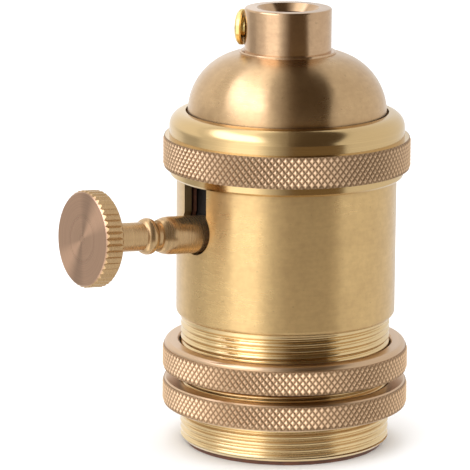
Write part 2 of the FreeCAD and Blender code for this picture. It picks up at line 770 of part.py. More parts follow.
def neck_collar():
    r, top, edge = size["neck_radius"], size["neck_top"], size["neck_edge"]
    bore, mouth = size["neck_bore"], size["neck_mouth"]
    foot, foot_height = size["neck_foot_radius"], size["neck_foot_height"]
    spigot = size["dome_hole"] - size["push_fit"]
    lip = size["dome_hole"] + size["stake_reach"]
    low = DOME_CEILING - size["stake_height"]
    body = new_body("neck_collar")
    revolve(
        body,
        "neck_turning",
        [
            (bore, low),
            (lip - size["stake_height"] / 2, low),
            (lip, DOME_CEILING),
            (spigot, DOME_CEILING),
            (spigot, SEAT_HEIGHT),
            (foot, SEAT_HEIGHT),
            (foot, SEAT_HEIGHT + foot_height / 2),
            (foot - foot_height / 2, SEAT_HEIGHT + foot_height),
            (r, SEAT_HEIGHT + foot_height),
            (r, top - edge, (edge, 1)),
            (r - edge, top),
            (mouth, top),
            (bore, top - (mouth - bore)),
        ],
    )
    hole = placed_cylinder(
        "clamp_hole",
        size["clamp_shank_radius"] + size["clamp_fit"],
        r * 2,
        (0, 0, 0),
        Vector(0, 1, 0),
        90,
    )
    turned = doc.addObject("Part::Compound", "clamp_hole_turned")
    turned.Links = [hole]
    stand_on_clamp_line(turned)
    return cut("neck_collar", body, turned)


def stand_on_clamp_line(item):
    """Turns a piece made along +X to the clamp screw's bearing and height."""
    bearing, height = size["clamp_bearing"], size["clamp_height"]
    spot = Vector(0, 0, height.value)
    item.Placement = FreeCAD.Placement(spot, FreeCAD.Rotation(UP, bearing.value))
    item.setExpression("Placement.Base.z", height.rule)
    item.setExpression("Placement.Rotation.Angle", bearing.rule)


def clamp_screw():
    """A round-headed slotted screw that reaches into the cable entry's bore wall."""
    shank, head = size["clamp_shank_radius"], size["clamp_head_radius"]
    thick = size["clamp_head_height"]
    tip = size["neck_bore"] + 0.3
    bevel = shank * 0.3
    body = new_body("clamp_screw")
    sketch = new_sketch(body, "clamp_profile", "XY_Plane")
    draw_loop(
        sketch,
        [
            (tip, 0),
            (CLAMP_SEAT + thick, 0),
            (CLAMP_SEAT + thick, head - thick * 0.35),
            (CLAMP_SEAT + thick * 0.65, head),
            (CLAMP_SEAT + thick * 0.2, head),
            (CLAMP_SEAT, head - thick * 0.2),
            (CLAMP_SEAT, shank),
            (tip + bevel, shank),
            (tip, shank - bevel),
        ],
    )
    turning = body.newObject("PartDesign::Revolution", "clamp_turning")
    turning.Profile = sketch
    turning.ReferenceAxis = (sketch, ["H_Axis"])
    turning.Angle = 360
    body.Tip = turning
    slot = new_sketch(body, "clamp_slot_outline", "XY_Plane")
    depth, half = thick * 0.55, head * 0.13
    far = CLAMP_SEAT + thick + 1
    draw_loop(slot, box_loop(CLAMP_SEAT + thick - depth, far, -half, half))
    pocket(body, "clamp_slot", slot, head * 3, symmetric=True)
    stand_on_clamp_line(body)
    return body


# ---------------------------------------------------------------- knob and switch


def knob():
    """Turned knob: toothed head, stem, bead, waist and barrel on the switch axis."""
    face, edge, head = size["knob_face"], size["knob_edge"], size["knob_radius"]
    back = face - size["knob_head_height"]
    stem, bead, half = size["stem_radius"], size["bead_radius"], size["bead_half_height"]
    middle, waist = size["bead_station"], size["waist_radius"]
    end, crown, start = size["barrel_end"], size["barrel_crown"], size["barrel_root"]
    mouth, widest = size["barrel_mouth_radius"], size["barrel_crown_radius"]
    bore = size["spindle_radius"] + size["push_fit"]
    bore_end = size["spindle_outer_end"] + size["push_fit"]
    rise = bead - stem
    bulge = (half * half + rise * rise) / (rise * 2)
    span, swell = end - crown, widest - mouth
    crown_bend = (span * span + swell * swell) / (swell * 2)
    body = new_body("knob")
    revolve(
        body,
        "knob_turning",
        [
            (bore, start),
            (size["barrel_root_radius"] - edge / 2, start),
            (size["barrel_root_radius"], start + edge / 2),
            (widest, crown, (crown_bend, 1)),
            (mouth, end),
            (waist, end),
            (waist, middle - half),
            (stem, middle - half, (bulge, 1)),
            (stem, middle + half),
            (stem, back),
            (head - edge, back),
            (head, back + edge),
            (head, face - edge),
            (head - edge, face),
            (0, face),
            (0, bore_end),
            (bore, bore_end),
        ],
    )
    knob_rim(body, back, face)
    lay_on_switch_axis(body)
    return body


def knob_rim(body, back, face):
    """V grooves round the knob's rim, one cut and its polar pattern."""
    head, depth, teeth = size["knob_radius"], size["knob_tooth_depth"], size["knob_teeth"]
    outside = head + depth
    spread = head * math.pi / teeth * 1.6
    sketch = new_sketch(body, "tooth_outline", "XY_Plane", face + 1)
    draw_loop(sketch, [(head - depth, 0), (outside, -spread), (outside, spread)])
    groove = pocket(body, "tooth_cut", sketch, face - back + 2)
    before = body.Shape.Volume
    pattern = body.newObject("PartDesign::PolarPattern", "tooth_pattern")
    pattern.Originals = [groove]
    pattern.Axis = (sketch, ["N_Axis"])
    pattern.Angle = 360
    pattern.Occurrences = int(teeth.value)
    pattern.setExpression("Occurrences", teeth.rule)
    body.Tip = pattern
    doc.recompute()
    if pattern.Shape.Volume > before - 1e-6:
        raise ValueError("the knob's teeth aren't cut")


def switch_spindle():
    """A plain rod from the rotor's middle to the knob's barrel."""
    r, chamfer = size["spindle_radius"], 0.3
    low, high = size["spindle_inner_end"], size["spindle_outer_end"]
    body = new_body("switch_spindle")
    revolve(
        body,
        "spindle_turning",
        [
            (0, low),
            (r - chamfer, low),
            (r, low + chamfer),
            (r, high - chamfer),
            (r - chamfer, high),
            (0, high),
        ],
    )
    lay_on_switch_axis(body)
    return body


def switch_rotor():
    """Four-sided moulding with a hub, a trunnion and seats for the bridge's cheeks."""
    half, length, corner = (
        size["rotor_half_width"],
        size["rotor_half_length"],
        size["rotor_corner"],
    )
    sheet_gap = size["bridge_sheet"] + size["push_fit"]
    body = new_body("switch_rotor")
    square = new_sketch(body, "rotor_square", "XY_Plane", -length)
    flat = half - corner
    draw_loop(
        square,
        [
            (flat, -half, (corner, 1)),
            (half, -flat),
            (half, flat, (corner, 1)),
            (flat, half),
            (-flat, half, (corner, 1)),
            (-half, flat),
            (-half, -flat, (corner, 1)),
            (-flat, -half),
        ],
    )
    pad(body, "rotor_block", square, length * 2)
    hub = new_sketch(body, "hub_circle", "XY_Plane", length)
    draw_circle(hub, 0, 0, size["hub_radius"])
    pad(body, "rotor_hub", hub, size["hub_end"] - length)
    trunnion = new_sketch(body, "trunnion_circle", "XY_Plane", -size["trunnion_end"])
    draw_circle(trunnion, 0, 0, size["spindle_radius"])
    pad(body, "rotor_trunnion", trunnion, size["trunnion_end"] - length)
    bore = size["spindle_radius"] + size["push_fit"]
    stop = size["spindle_inner_end"] - size["push_fit"]
    drill(body, "rotor_bore", size["hub_end"], [(0, 0, bore)], size["hub_end"] - stop)
    seats = new_sketch(body, "cheek_seats", "XY_Plane", -length)
    wide = size["bridge_half_width"] + size["push_fit"]
    for side in (-1, 1):
        near, far = (half - sheet_gap) * side, (half + 1) * side
        draw_loop(seats, box_loop(-wide, wide, near, far))
    reach = length - size["bridge_reach"] + size["push_fit"]
    pocket(body, "cheek_seat_cut", seats, reach, upwards=True)
    lay_on_switch_axis(body)
    return body


def rotor_bridge():
    """A U of sheet: two cheeks on opposite flats and a web round the trunnion."""
    half, length, thick = (
        size["rotor_half_width"],
        size["rotor_half_length"],
        size["bridge_sheet"],
    )
    wide = size["bridge_half_width"]
    body = new_body("rotor_bridge")
    web_end = -length - thick - size["push_fit"]
    outline = new_sketch(body, "bridge_outline", "YZ_Plane")
    inner, tip = half - thick, -size["bridge_reach"]
    draw_loop(
        outline,
        [
            (-half, web_end),
            (half, web_end),
            (half, tip),
            (inner, tip),
            (inner, web_end + thick),
            (-inner, web_end + thick),
            (-inner, tip),
            (-half, tip),
        ],
    )
    pad(body, "bridge_sheet_pad", outline, wide * 2, symmetric=True)
    hole = size["spindle_radius"] + size["hole_fit"]
    drill(body, "bridge_hole", web_end + thick * 2, [(0, 0, hole)], thick * 3)
    lay_on_switch_axis(body)
    return body


def line_leaf():
    """Hangs from the line terminal and rests on the rotor's +Y flat."""
    thick, stand = size["leaf_sheet"], size["leaf_stand"]
    touch = size["rotor_half_width"] + size["leaf_gap"]
    middle = size["switch_height"]
    outline = [
        (size["terminal_outer"], FLANGE_TOP),
        (size["terminal_outer"], FLANGE_TOP + thick),
        (stand, FLANGE_TOP + thick),
        (stand, middle + size["leaf_run"]),
        (touch, middle),
        (touch + thick, middle - size["leaf_tail"]),
        (touch + thick * 2, middle - size["leaf_tail"]),
        (touch + thick, middle),
        (stand + thick, middle + size["leaf_run"]),
        (stand + thick, FLANGE_TOP),
    ]
    body = bent_strip("line_leaf", outline, size["leaf_width"], size["leaf_station"])
    hole = size["terminal_screw_radius"] + size["hole_fit"]
    spot = [(size["leaf_station"], size["terminal_screw_place"], hole)]
    drill(body, "line_leaf_hole", FLANGE_TOP + thick * 2, spot, thick * 3)
    return body


def load_leaf():
    """Stands on the base, riveted to the centre contact, and rests on the -Y flat."""
    thick, stand = size["leaf_sheet"], size["leaf_stand"]
    touch = size["rotor_half_width"] + size["leaf_gap"]
    middle, floor = size["switch_height"], size["base_top"]
    end = size["rivet_head_radius"] + size["hole_fit"]
    outline = [
        (end, floor),
        (end, floor + thick),
        (-stand, floor + thick),
        (-stand, middle - size["leaf_run"]),
        (-touch, middle),
        (-touch - thick, middle + size["leaf_tail"]),
        (-touch - thick * 2, middle + size["leaf_tail"]),
        (-touch - thick, middle),
        (-stand - thick, middle - size["leaf_run"]),
        (-stand - thick, floor),
    ]
    body = bent_strip("load_leaf", outline, size["leaf_width"], size["leaf_station"])
    hole = size["rivet_radius"] + size["hole_fit"]
    spot = [(size["contact_rivet_station"], 0, hole)]
    drill(body, "load_leaf_hole", floor + thick * 2, spot, thick * 3)
    return body


def detent_spring():
    """A bow of spring sheet between the rotor's upper flat and the chamber's ceiling."""
    sheet, span = size["detent_sheet"], size["detent_half_span"]
    tilt, station = size["switch_tilt"], size["detent_station"]
    touch = size["rotor_half_width"] + size["leaf_gap"]
    headroom = size["chamber_top"] - size["switch_height"]
    slope = (station + size["detent_width"] / 2) * sine(tilt)
    ends = (headroom - slope) / cosine(tilt) - size["leaf_gap"] - sheet
    rise = ends - touch
    bend = (span * span + rise * rise) / (rise * 2)
    body = new_body("detent_spring")
    sketch = new_sketch(body, "detent_outline", "XY_Plane", station)
    draw_loop(
        sketch,
        [
            (ends, span, (bend, 1)),
            (ends, -span),
            (ends + sheet, -span, (bend, -1)),
            (ends + sheet, span),
        ],
    )
    pad(body, "detent_bow", sketch, size["detent_width"], symmetric=True)
    lay_on_switch_axis(body)
    return body


# ---------------------------------------------------------------- housing and base


def bolt_spots(radius):
    """The two assembly screws stand on one diagonal, clear of the switch axis."""
    step = size["bolt_circle"] * math.sqrt(0.5)
    return [(-step, step, radius), (step, -step, radius)]


def terminal_spots(radius):
    place = size["terminal_screw_place"]
    return [(size["leaf_station"], place, radius), (0, -place, radius)]


def strap_cutter(body, name):
    """The groove for the neutral strap down the -Y side."""
    gap = size["strap_groove_gap"]
    half = size["strap_width"] / 2 + gap
    inner = STRAP_LEG - size["strap_sheet"] - gap
    sketch = new_sketch(body, name, "XY_Plane", FLANGE_TOP + 1)
    draw_loop(sketch, box_loop(-half, half, -size["housing_radius"] - gap, -inner))
    pocket(body, name + "_cut", sketch)


def switch_housing():
    """The moulding that carries the rotor; its flange is clamped under the dome."""
    r, reach, top = size["housing_radius"], size["flange_reach"], size["shell_top"]
    floor, fit = size["base_top"], size["hole_fit"]
    body = new_body("switch_housing")
    revolve(
        body,
        "housing_moulding",
        [(0, floor), (r, floor), (r, top), (reach, top), (reach, FLANGE_TOP), (0, FLANGE_TOP)],
    )
    chamber = [(0, 0, size["chamber_radius"])]
    drill(body, "switch_chamber", floor, chamber, size["chamber_top"] - floor, upwards=True)
    drill(body, "bolt_holes", FLANGE_TOP, bolt_spots(size["bolt_radius"] + fit))
    drill(
        body,
        "terminal_holes",
        FLANGE_TOP,
        terminal_spots(size["terminal_screw_radius"] + fit),
        size["terminal_screw_length"] + fit,
    )
    slot = new_sketch(body, "leaf_slot_outline", "XY_Plane", FLANGE_TOP)
    station, half = size["leaf_station"], size["leaf_width"] / 2 + fit
    stand, thick = size["leaf_stand"], size["leaf_sheet"]
    draw_loop(slot, box_loop(station - half, station + half, stand - fit, stand + thick + fit))
    pocket(body, "leaf_slot", slot, FLANGE_TOP - size["chamber_top"] + 1)
    strap_cutter(body, "housing_strap_groove")
    tilt, back = size["switch_tilt"], size["trunnion_end"] + size["running_gap"]
    bore = placed_cylinder(
        "spindle_bore",
        size["spindle_radius"] + size["spindle_fit"],
        back + r * 1.2,
        (back * cosine(tilt), 0, size["switch_height"] - back * sine(tilt)),
        Vector(0, 1, 0),
        tilt - 90,
    )
    return cut("switch_housing", body, bore)


def socket_base():
    """The disc that closes the switch chamber and carries the screw shell."""
    r, floor, top = size["housing_radius"], size["base_bottom"], size["base_top"]
    fit, gap = size["hole_fit"], size["strap_groove_gap"]
    body = new_body("socket_base")
    revolve(body, "base_moulding", [(0, floor), (r, floor), (r, top), (0, top)])
    rivet = size["rivet_radius"] + fit
    place = size["rivet_place"]
    spots = [(0, place, rivet), (0, -place, rivet), (size["contact_rivet_station"], 0, rivet)]
    drill(body, "rivet_holes", top, spots)
    head = size["rivet_head_radius"] + fit
    sunk = size["rivet_head_height"] + fit
    drill(body, "rivet_recesses", top, [(0, place, head), (0, -place, head)], sunk)
    drill(
        body, "bolt_threads", top, bolt_spots(size["bolt_radius"] + fit), top - size["bolt_tip"] + fit
    )
    strap_cutter(body, "base_strap_groove")
    foot = new_sketch(body, "strap_foot_outline", "XY_Plane", floor)
    half = size["strap_width"] / 2 + gap
    draw_loop(foot, box_loop(-half, half, -r - 1, -size["strap_inner"] + gap))
    pocket(body, "strap_foot_recess", foot, size["strap_sheet"], upwards=True)
    return body


def line_terminal():
    """The plate that clamps the line wire and the line leaf's foot."""
    low = FLANGE_TOP + size["leaf_sheet"]
    half, station = size["terminal_width"] / 2, size["leaf_station"]
    body = new_body("line_terminal")
    sketch = new_sketch(body, "terminal_outline", "XY_Plane", low)
    inner, outer = size["terminal_inner"], size["terminal_outer"]
    draw_loop(sketch, box_loop(station - half, station + half, inner, outer))
    pad(body, "terminal_plate", sketch, size["terminal_sheet"])
    hole = size["terminal_screw_radius"] + size["hole_fit"]
    spot = [(station, size["terminal_screw_place"], hole)]
    drill(body, "terminal_hole", low + size["terminal_sheet"] + 1, spot)
    return body


def neutral_strap():
    """Sheet strap from the neutral terminal down to the screw shell's end."""
    sheet, inner = size["strap_sheet"], size["strap_inner"]
    low, high = size["base_bottom"], FLANGE_TOP
    outline = [
        (-inner, high),
        (-inner, high + sheet),
        (-STRAP_LEG, high + sheet),
        (-STRAP_LEG, low),
        (-inner, low),
        (-inner, low + sheet),
        (-STRAP_LEG + sheet, low + sheet),
        (-STRAP_LEG + sheet, high),
    ]
    body = bent_strip("neutral_strap", outline, size["strap_width"], 0)
    place, fit = size["terminal_screw_place"], size["hole_fit"]
    upper = [(0, -place, size["terminal_screw_radius"] + fit)]
    drill(body, "strap_screw_hole", high + sheet * 2, upper, sheet * 3)
    lower = [(0, -size["rivet_place"], size["rivet_radius"] + fit)]
    drill(body, "strap_rivet_hole", low + sheet * 2, lower, sheet * 3)
    return body


def screw(name, x, y, seat, shank, tip, head, head_height):
    """A slotted pan-head screw standing on its seat with its tip downwards."""
    body = new_body(name)
    soft = head_height * 0.4
    point = shank * 0.3
    top = seat + head_height
    revolve(
        body,
        name + "_turning",
        [
            (0, tip),
            (shank - point, tip),
            (shank, tip + point),
            (shank, seat),
            (head, seat),
            (head, top - soft, (soft, 1)),
            (head - soft, top),
            (0, top),
        ],
    )
    sketch = new_sketch(body, name + "_slot_outline", "XY_Plane", top)
    draw_loop(sketch, box_loop(-head - 1, head + 1, -head * 0.14, head * 0.14))
    pocket(body, name + "_slot", sketch, head_height * 0.5)
    place_at(body, x, y)
    return body


def rivet(name, x, y, low, high, shank, head, head_height):
    """A rivet through the sheets between low and high, with two flat heads."""
    body = new_body(name)
    revolve(
        body,
        name + "_turning",
        [
            (0, low - head_height),
            (head - head_height / 2, low - head_height),
            (head, low),
            (shank, low),
            (shank, high),
            (head, high),
            (head - head_height / 2, high + head_height),
            (0, high + head_height),
        ],
    )
    place_at(body, x, y)
    return body


def place_at(body, x, y):
    x, y = as_size(x), as_size(y)
    body.Placement = FreeCAD.Placement(Vector(x.value, y.value, 0), FreeCAD.Rotation())
    body.setExpression("Placement.Base.x", x.rule)
    body.setExpression("Placement.Base.y", y.rule)


def group(name, members):
    """Identical fasteners as separate solids in one sub-part."""
    bundle = doc.addObject("Part::Compound", name + "_group")
    bundle.Links = members
    bundle.Label = name
    return bundle


def terminal_screws():
    seats = [
        FLANGE_TOP + size["leaf_sheet"] + size["terminal_sheet"],
        FLANGE_TOP + size["strap_sheet"],
    ]
    screws = []
    spots = terminal_spots(size["terminal_screw_radius"])
    for label, seat, (x, y, shank) in zip(("line", "neutral"), seats, spots):
        tip = FLANGE_TOP - size["terminal_screw_length"]
        head, height = size["terminal_head_radius"], size["terminal_head_height"]
        screws.append(screw(label + "_screw", x, y, seat, shank, tip, head, height))
    return group("terminal_screws", screws)


def assembly_screws():
    screws = []
    for label, (x, y, shank) in zip(("left", "right"), bolt_spots(size["bolt_radius"])):
        head, height = size["bolt_head_radius"], size["bolt_head_height"]
        tip = size["bolt_tip"]
        screws.append(screw(label + "_bolt", x, y, FLANGE_TOP, shank, tip, head, height))
    return group("assembly_screws", screws)


def shell_rivets():
    rivets = []
    low = size["base_bottom"] - size["socket_sheet"]
    high = size["base_top"] - size["rivet_head_height"] - size["hole_fit"]
    for label, way in (("plain", 1), ("strap", -1)):
        place = size["rivet_place"] * way
        shank, head = size["rivet_radius"], size["rivet_head_radius"]
        height = size["rivet_head_height"]
        rivets.append(rivet(label + "_rivet", 0, place, low, high, shank, head, height))
    return group("shell_rivets", rivets)


def contact_rivet():
    low = size["base_bottom"] - size["contact_sheet"]
    high = size["base_top"] + size["leaf_sheet"]
    shank, head = size["rivet_radius"], size["rivet_head_radius"]
    height, station = size["rivet_head_height"], size["contact_rivet_station"]
    return rivet("contact_rivet", station, 0, low, high, shank, head, height)


# ---------------------------------------------------------------- lamp socket


def centre_contact():
    """A folded spring tongue under the base, hollow side up, with its tip on the axis."""
    sheet, low = size["contact_sheet"], size["base_bottom"]
    reach, tip = size["contact_reach"], size["contact_tip"]
    fold = (low - tip - sheet) / 2
    start, bend = reach - fold * 0.4, fold * 0.405
    outline = [
        (-reach * 0.75, low),
        (-reach * 0.75, low - sheet),
        (start, low - sheet, (bend, -1)),
        (start, low - sheet - fold * 0.8),
        (0, tip + sheet),
        (-reach * 0.5, tip + sheet + fold * 0.5),
        (-reach * 0.5, tip + fold * 0.5),
        (0, tip),
        (start, low - sheet * 2 - fold * 0.8, (bend + sheet, 1)),
        (start, low),
    ]
    body = bent_strip("centre_contact", outline, size["contact_width"], 0)
    hole = size["rivet_radius"] + size["hole_fit"]
    spot = [(size["contact_rivet_station"], 0, hole)]
    drill(body, "contact_hole", low + 1, spot, sheet + 1)
    return body


def turned_solid(corners):
    """A plain solid of revolution round the axis from (radius, height) corners."""
    points = [Vector(x, 0, z) for x, z in corners]
    outline = Part.Face(Part.makePolygon(points + points[:1]))
    return outline.revolve(Vector(), UP, 360)


def screw_shell():
    """Sheet shell with the knuckle thread pressed into it as one helix."""
    sheet, minor = size["socket_sheet"].value, size["thread_minor"].value
    mouth, top = size["socket_mouth"].value, size["base_bottom"].value
    neck, neck_radius = size["socket_neck"].value, size["socket_neck_radius"].value
    pitch, turns = size["thread_pitch"].value, size["thread_turns"].value
    depth = size["thread_depth"].value
    knuckle = depth * 0.93
    path_radius = minor + depth - knuckle

    def cup(wall, end):
        """The cup's outer form for a wall and end of this thickness, else its hollow."""
        return turned_solid(
            [
                (0, mouth),
                (minor + wall, mouth),
                (minor + wall, neck + wall),
                (neck_radius + wall, neck + wall),
                (neck_radius + wall, top - end),
                (0, top - end),
            ]
        )

    start = mouth + knuckle + sheet * 2
    path = Part.Wire(Part.makeHelix(pitch, pitch * turns, path_radius))

    def ridge(radius):
        circle = Part.Circle(Vector(path_radius, 0, 0), Vector(0, 1, 0), radius)
        tube = path.makePipeShell([Part.Wire(circle.toShape())], True, True)
        tube.translate(Vector(0, 0, start))
        return tube

    shape = cup(sheet, 0).fuse(ridge(knuckle + sheet)).cut(cup(0, sheet)).cut(ridge(knuckle))
    eyes = [(0, size["socket_hole"].value)]
    for way in (-1, 1):
        fit = (size["rivet_radius"] + size["hole_fit"]).value
        eyes.append((size["rivet_place"].value * way, fit))
    for y, radius in eyes:
        shape = shape.cut(Part.makeCylinder(radius, sheet * 2, Vector(0, y, top - sheet * 1.5)))
    feature = doc.addObject("Part::Feature", "screw_shell_pressing")
    feature.Label = "screw_shell"
    feature.Shape = shape
    feature.Placement = FreeCAD.Placement(Vector(), FreeCAD.Rotation())
    return feature


# ---------------------------------------------------------------- the whole holder

SUB_PARTS = (
    neck_collar,
    clamp_screw,
    dome_cap,
    union_ring,
    body_shell,
    insulating_liner,
    upper_shade_ring,
    lower_shade_ring,
    knob,
    switch_spindle,
    switch_rotor,
    rotor_bridge,
    line_leaf,
    load_leaf,
    detent_spring,
    switch_housing,
    socket_base,
    line_terminal,
    neutral_strap,
    terminal_screws,
    assembly_screws,
    shell_rivets,
    contact_rivet,
    centre_contact,
    screw_shell,
)


def check_state(finished):
    """Stops if any object failed or any sub-part isn't one valid shape."""
    for item in doc.Objects:
        if "Invalid" in item.State or "Error" in item.State:
            raise ValueError("%s failed: %s" % (item.Label, item.State))
    for item in finished:
        if item.Shape.isNull() or not item.Shape.isValid() or not item.Shape.Solids:
            raise ValueError("%s isn't a valid solid" % item.Label)


def build():
    finished = [make() for make in SUB_PARTS]
    doc.recompute()
    check_state(finished)
    os.makedirs("parts", exist_ok=True)
    for item in finished:
        item.Shape.exportStep("parts/%s.step" % item.Label)


build()
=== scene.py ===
import json
import math

import bmesh
import bpy
from bpy.props import FloatProperty, FloatVectorProperty, IntProperty, PointerProperty
from mathutils import Matrix, Vector


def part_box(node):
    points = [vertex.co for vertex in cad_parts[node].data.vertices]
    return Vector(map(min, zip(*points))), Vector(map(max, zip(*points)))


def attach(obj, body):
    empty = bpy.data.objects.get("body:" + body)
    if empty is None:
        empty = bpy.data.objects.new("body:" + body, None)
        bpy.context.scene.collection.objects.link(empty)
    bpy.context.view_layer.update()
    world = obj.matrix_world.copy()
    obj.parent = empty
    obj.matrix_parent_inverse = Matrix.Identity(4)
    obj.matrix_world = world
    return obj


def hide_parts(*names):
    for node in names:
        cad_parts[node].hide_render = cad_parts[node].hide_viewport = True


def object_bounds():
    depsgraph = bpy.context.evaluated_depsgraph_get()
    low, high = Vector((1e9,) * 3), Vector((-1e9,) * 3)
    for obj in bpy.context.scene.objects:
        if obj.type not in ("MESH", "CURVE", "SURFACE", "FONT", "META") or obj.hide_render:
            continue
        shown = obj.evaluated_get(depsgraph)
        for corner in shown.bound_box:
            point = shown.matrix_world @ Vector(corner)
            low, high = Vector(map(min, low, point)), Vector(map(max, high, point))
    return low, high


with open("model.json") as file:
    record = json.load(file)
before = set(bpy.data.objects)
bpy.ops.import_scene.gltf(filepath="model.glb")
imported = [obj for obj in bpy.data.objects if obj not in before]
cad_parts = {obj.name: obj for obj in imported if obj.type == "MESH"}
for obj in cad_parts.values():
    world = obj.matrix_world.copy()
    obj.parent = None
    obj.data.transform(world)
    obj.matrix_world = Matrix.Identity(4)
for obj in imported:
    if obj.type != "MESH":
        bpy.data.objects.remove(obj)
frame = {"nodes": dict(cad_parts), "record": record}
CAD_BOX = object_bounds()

bl_info = {
    "name": "Brass Lamp Holder",
    "version": (1, 0, 0),
    "blender": (4, 5, 0),
    "location": "View3D > Sidebar > Lamp Holder",
    "description": "Threads, finishes and studio for a turn-knob lamp holder",
    "category": "Add Mesh",
}

MM = 0.001
NODES = frame["nodes"]
SLOT_OF = {row["node"]: row["material_slot"] for row in frame["record"]["subparts"]}

# the plain walls of the CAD into which threads are cut
SLEEVE_CREST = 19.6 * MM
SLEEVE_TOP = 23.8 * MM
SLEEVE_CHAMFER = 0.5 * MM
UNION_CREST = 19.9 * MM
UNION_LOW = 51.0 * MM
UNION_HIGH = 56.6 * MM
SLOT_HALF_WIDTH = 3.665 * MM
ENTRY_CORE = 4.46 * MM
ENTRY_COUNTERSINK = 1.39 * MM

# radii on a knurled ring: where its band starts, where the painted shade in its grooves is
# darkest, and where its points are worn
BAND_EDGE = (22.66 * MM, 22.73 * MM)
GROOVE_RADIUS = 22.72 * MM
POINT_RADIUS = 22.96 * MM

# the switch's axis, which slopes up to the knob, and where on it the rim turns into the face
SWITCH_SLOPE = math.radians(4.3)
SWITCH_HEIGHT = 39.44 * MM
KNOB_FACE = (44.2 * MM, 44.4 * MM)


# ------------------------------------------------------------------ sizes and colours


def colour(name, description, default):
    return FloatVectorProperty(
        name=name, description=description, subtype="COLOR", size=3, min=0, max=1, default=default
    )


def length(name, description, default):
    return FloatProperty(
        name=name, description=description, default=default, min=0, unit="LENGTH", precision=5
    )


def number(name, description, default):
    return FloatProperty(name=name, description=description, default=default, min=0)


class LampHolderThreads(bpy.types.PropertyGroup):
    """Sizes of the threads"""

    pitch: length("Pitch", "Pitch of the threads on the shell", 1.25 * MM)
    sleeve_depth: length("Sleeve Depth", "Depth of the sleeve's thread", 0.5 * MM)
    union_depth: length("Union Depth", "Depth of the thread under the union ring", 0.35 * MM)
    entry_pitch: length("Entry Pitch", "Pitch of the cable entry's thread", 1.0 * MM)
    entry_depth: length("Entry Depth", "Depth of the cable entry's thread", 0.54 * MM)
    steps: IntProperty(
        name="Steps", description="Steps in one turn of a thread", default=144, min=24, max=288
    )


class LampHolderColours(bpy.types.PropertyGroup):
    """Colours of the metals, the mouldings and the fibre"""

    shell: colour("Shell", "Satin brass of the shell", (0.60, 0.410, 0.182))
    sleeve: colour("Sleeve", "Clean brass of the sleeve's thread", (0.74, 0.55, 0.29))
    dome: colour("Dome", "Satin brass of the dome", (0.565, 0.382, 0.202))
    turned: colour("Turned", "Turned brass of neck and knob", (0.565, 0.378, 0.222))
    knurled: colour("Knurled", "Brass of the knurled rings", (0.61, 0.418, 0.256))
    shoulder: colour("Shoulder", "Turned brass of the union ring", (0.63, 0.445, 0.215))
    bright: colour("Bright", "Brass of the screws", (0.80, 0.61, 0.24))
    socket: colour("Socket", "Thin brass of the lamp thread", (0.66, 0.48, 0.24))
    contact: colour("Contact", "Bronze of the contacts", (0.60, 0.36, 0.18))
    spring: colour("Spring", "Steel of the detent spring", (0.36, 0.37, 0.39))
    moulding: colour("Moulding", "Moulded insulating parts", (0.013, 0.011, 0.010))
    fibre: colour("Fibre", "Vulcanised fibre liner", (0.135, 0.052, 0.028))


class LampHolderStage(bpy.types.PropertyGroup):
    """The camera, the floor and the light from all round"""

    lens: FloatProperty(
        name="Lens", description="Focal length", default=272.1, min=20, unit="CAMERA"
    )
    camera_roll: FloatProperty(
        name="Roll", description="Roll of the camera", default=math.radians(0.42), unit="ROTATION"
    )
    floor: colour("Floor", "Colour of the floor", (0.93, 0.93, 0.93))
    ambient: number("Ambient", "Strength of the light from all round", 0.8)


# ------------------------------------------------------------------ shader graphs


WHITE = (1.0, 1.0, 1.0, 1.0)
BLACK = (0.0, 0.0, 0.0, 1.0)


class Socket:
    """A shader value; Python's operators on it add Math nodes."""

    def __init__(self, graph, link):
        self.graph, self.link = graph, link

    def _math(self, operation, first, second):
        return self.graph.node("ShaderNodeMath", {"operation": operation}, {0: first, 1: second})

    def __add__(self, other):
        return self._math("ADD", self, other)

    def __radd__(self, other):
        return self._math("ADD", other, self)

    def __sub__(self, other):
        return self._math("SUBTRACT", self, other)

    def __rsub__(self, other):
        return self._math("SUBTRACT", other, self)

    def __mul__(self, other):
        return self._math("MULTIPLY", self, other)

    def __rmul__(self, other):
        return self._math("MULTIPLY", other, self)

    def apply(self, operation, other=0.0):
        """Math with an operation that Python has no sign for, such as COSINE or MAXIMUM."""
        return self._math(operation, self, other)

    def spread(self, low, high, new_low=0.0, new_high=1.0):
        """Maps low..high to new_low..new_high with soft ends."""
        settings = {"interpolation_type": "SMOOTHSTEP"}
        values = {0: self, 1: low, 2: high, 3: new_low, 4: new_high}
        return self.graph.node("ShaderNodeMapRange", settings, values)

    def window(self, start, full, fall, end):
        """1 from full to fall, and softly down to 0 at start and at end."""
        return self.spread(start, full) * self.spread(fall, end, 1.0, 0.0)


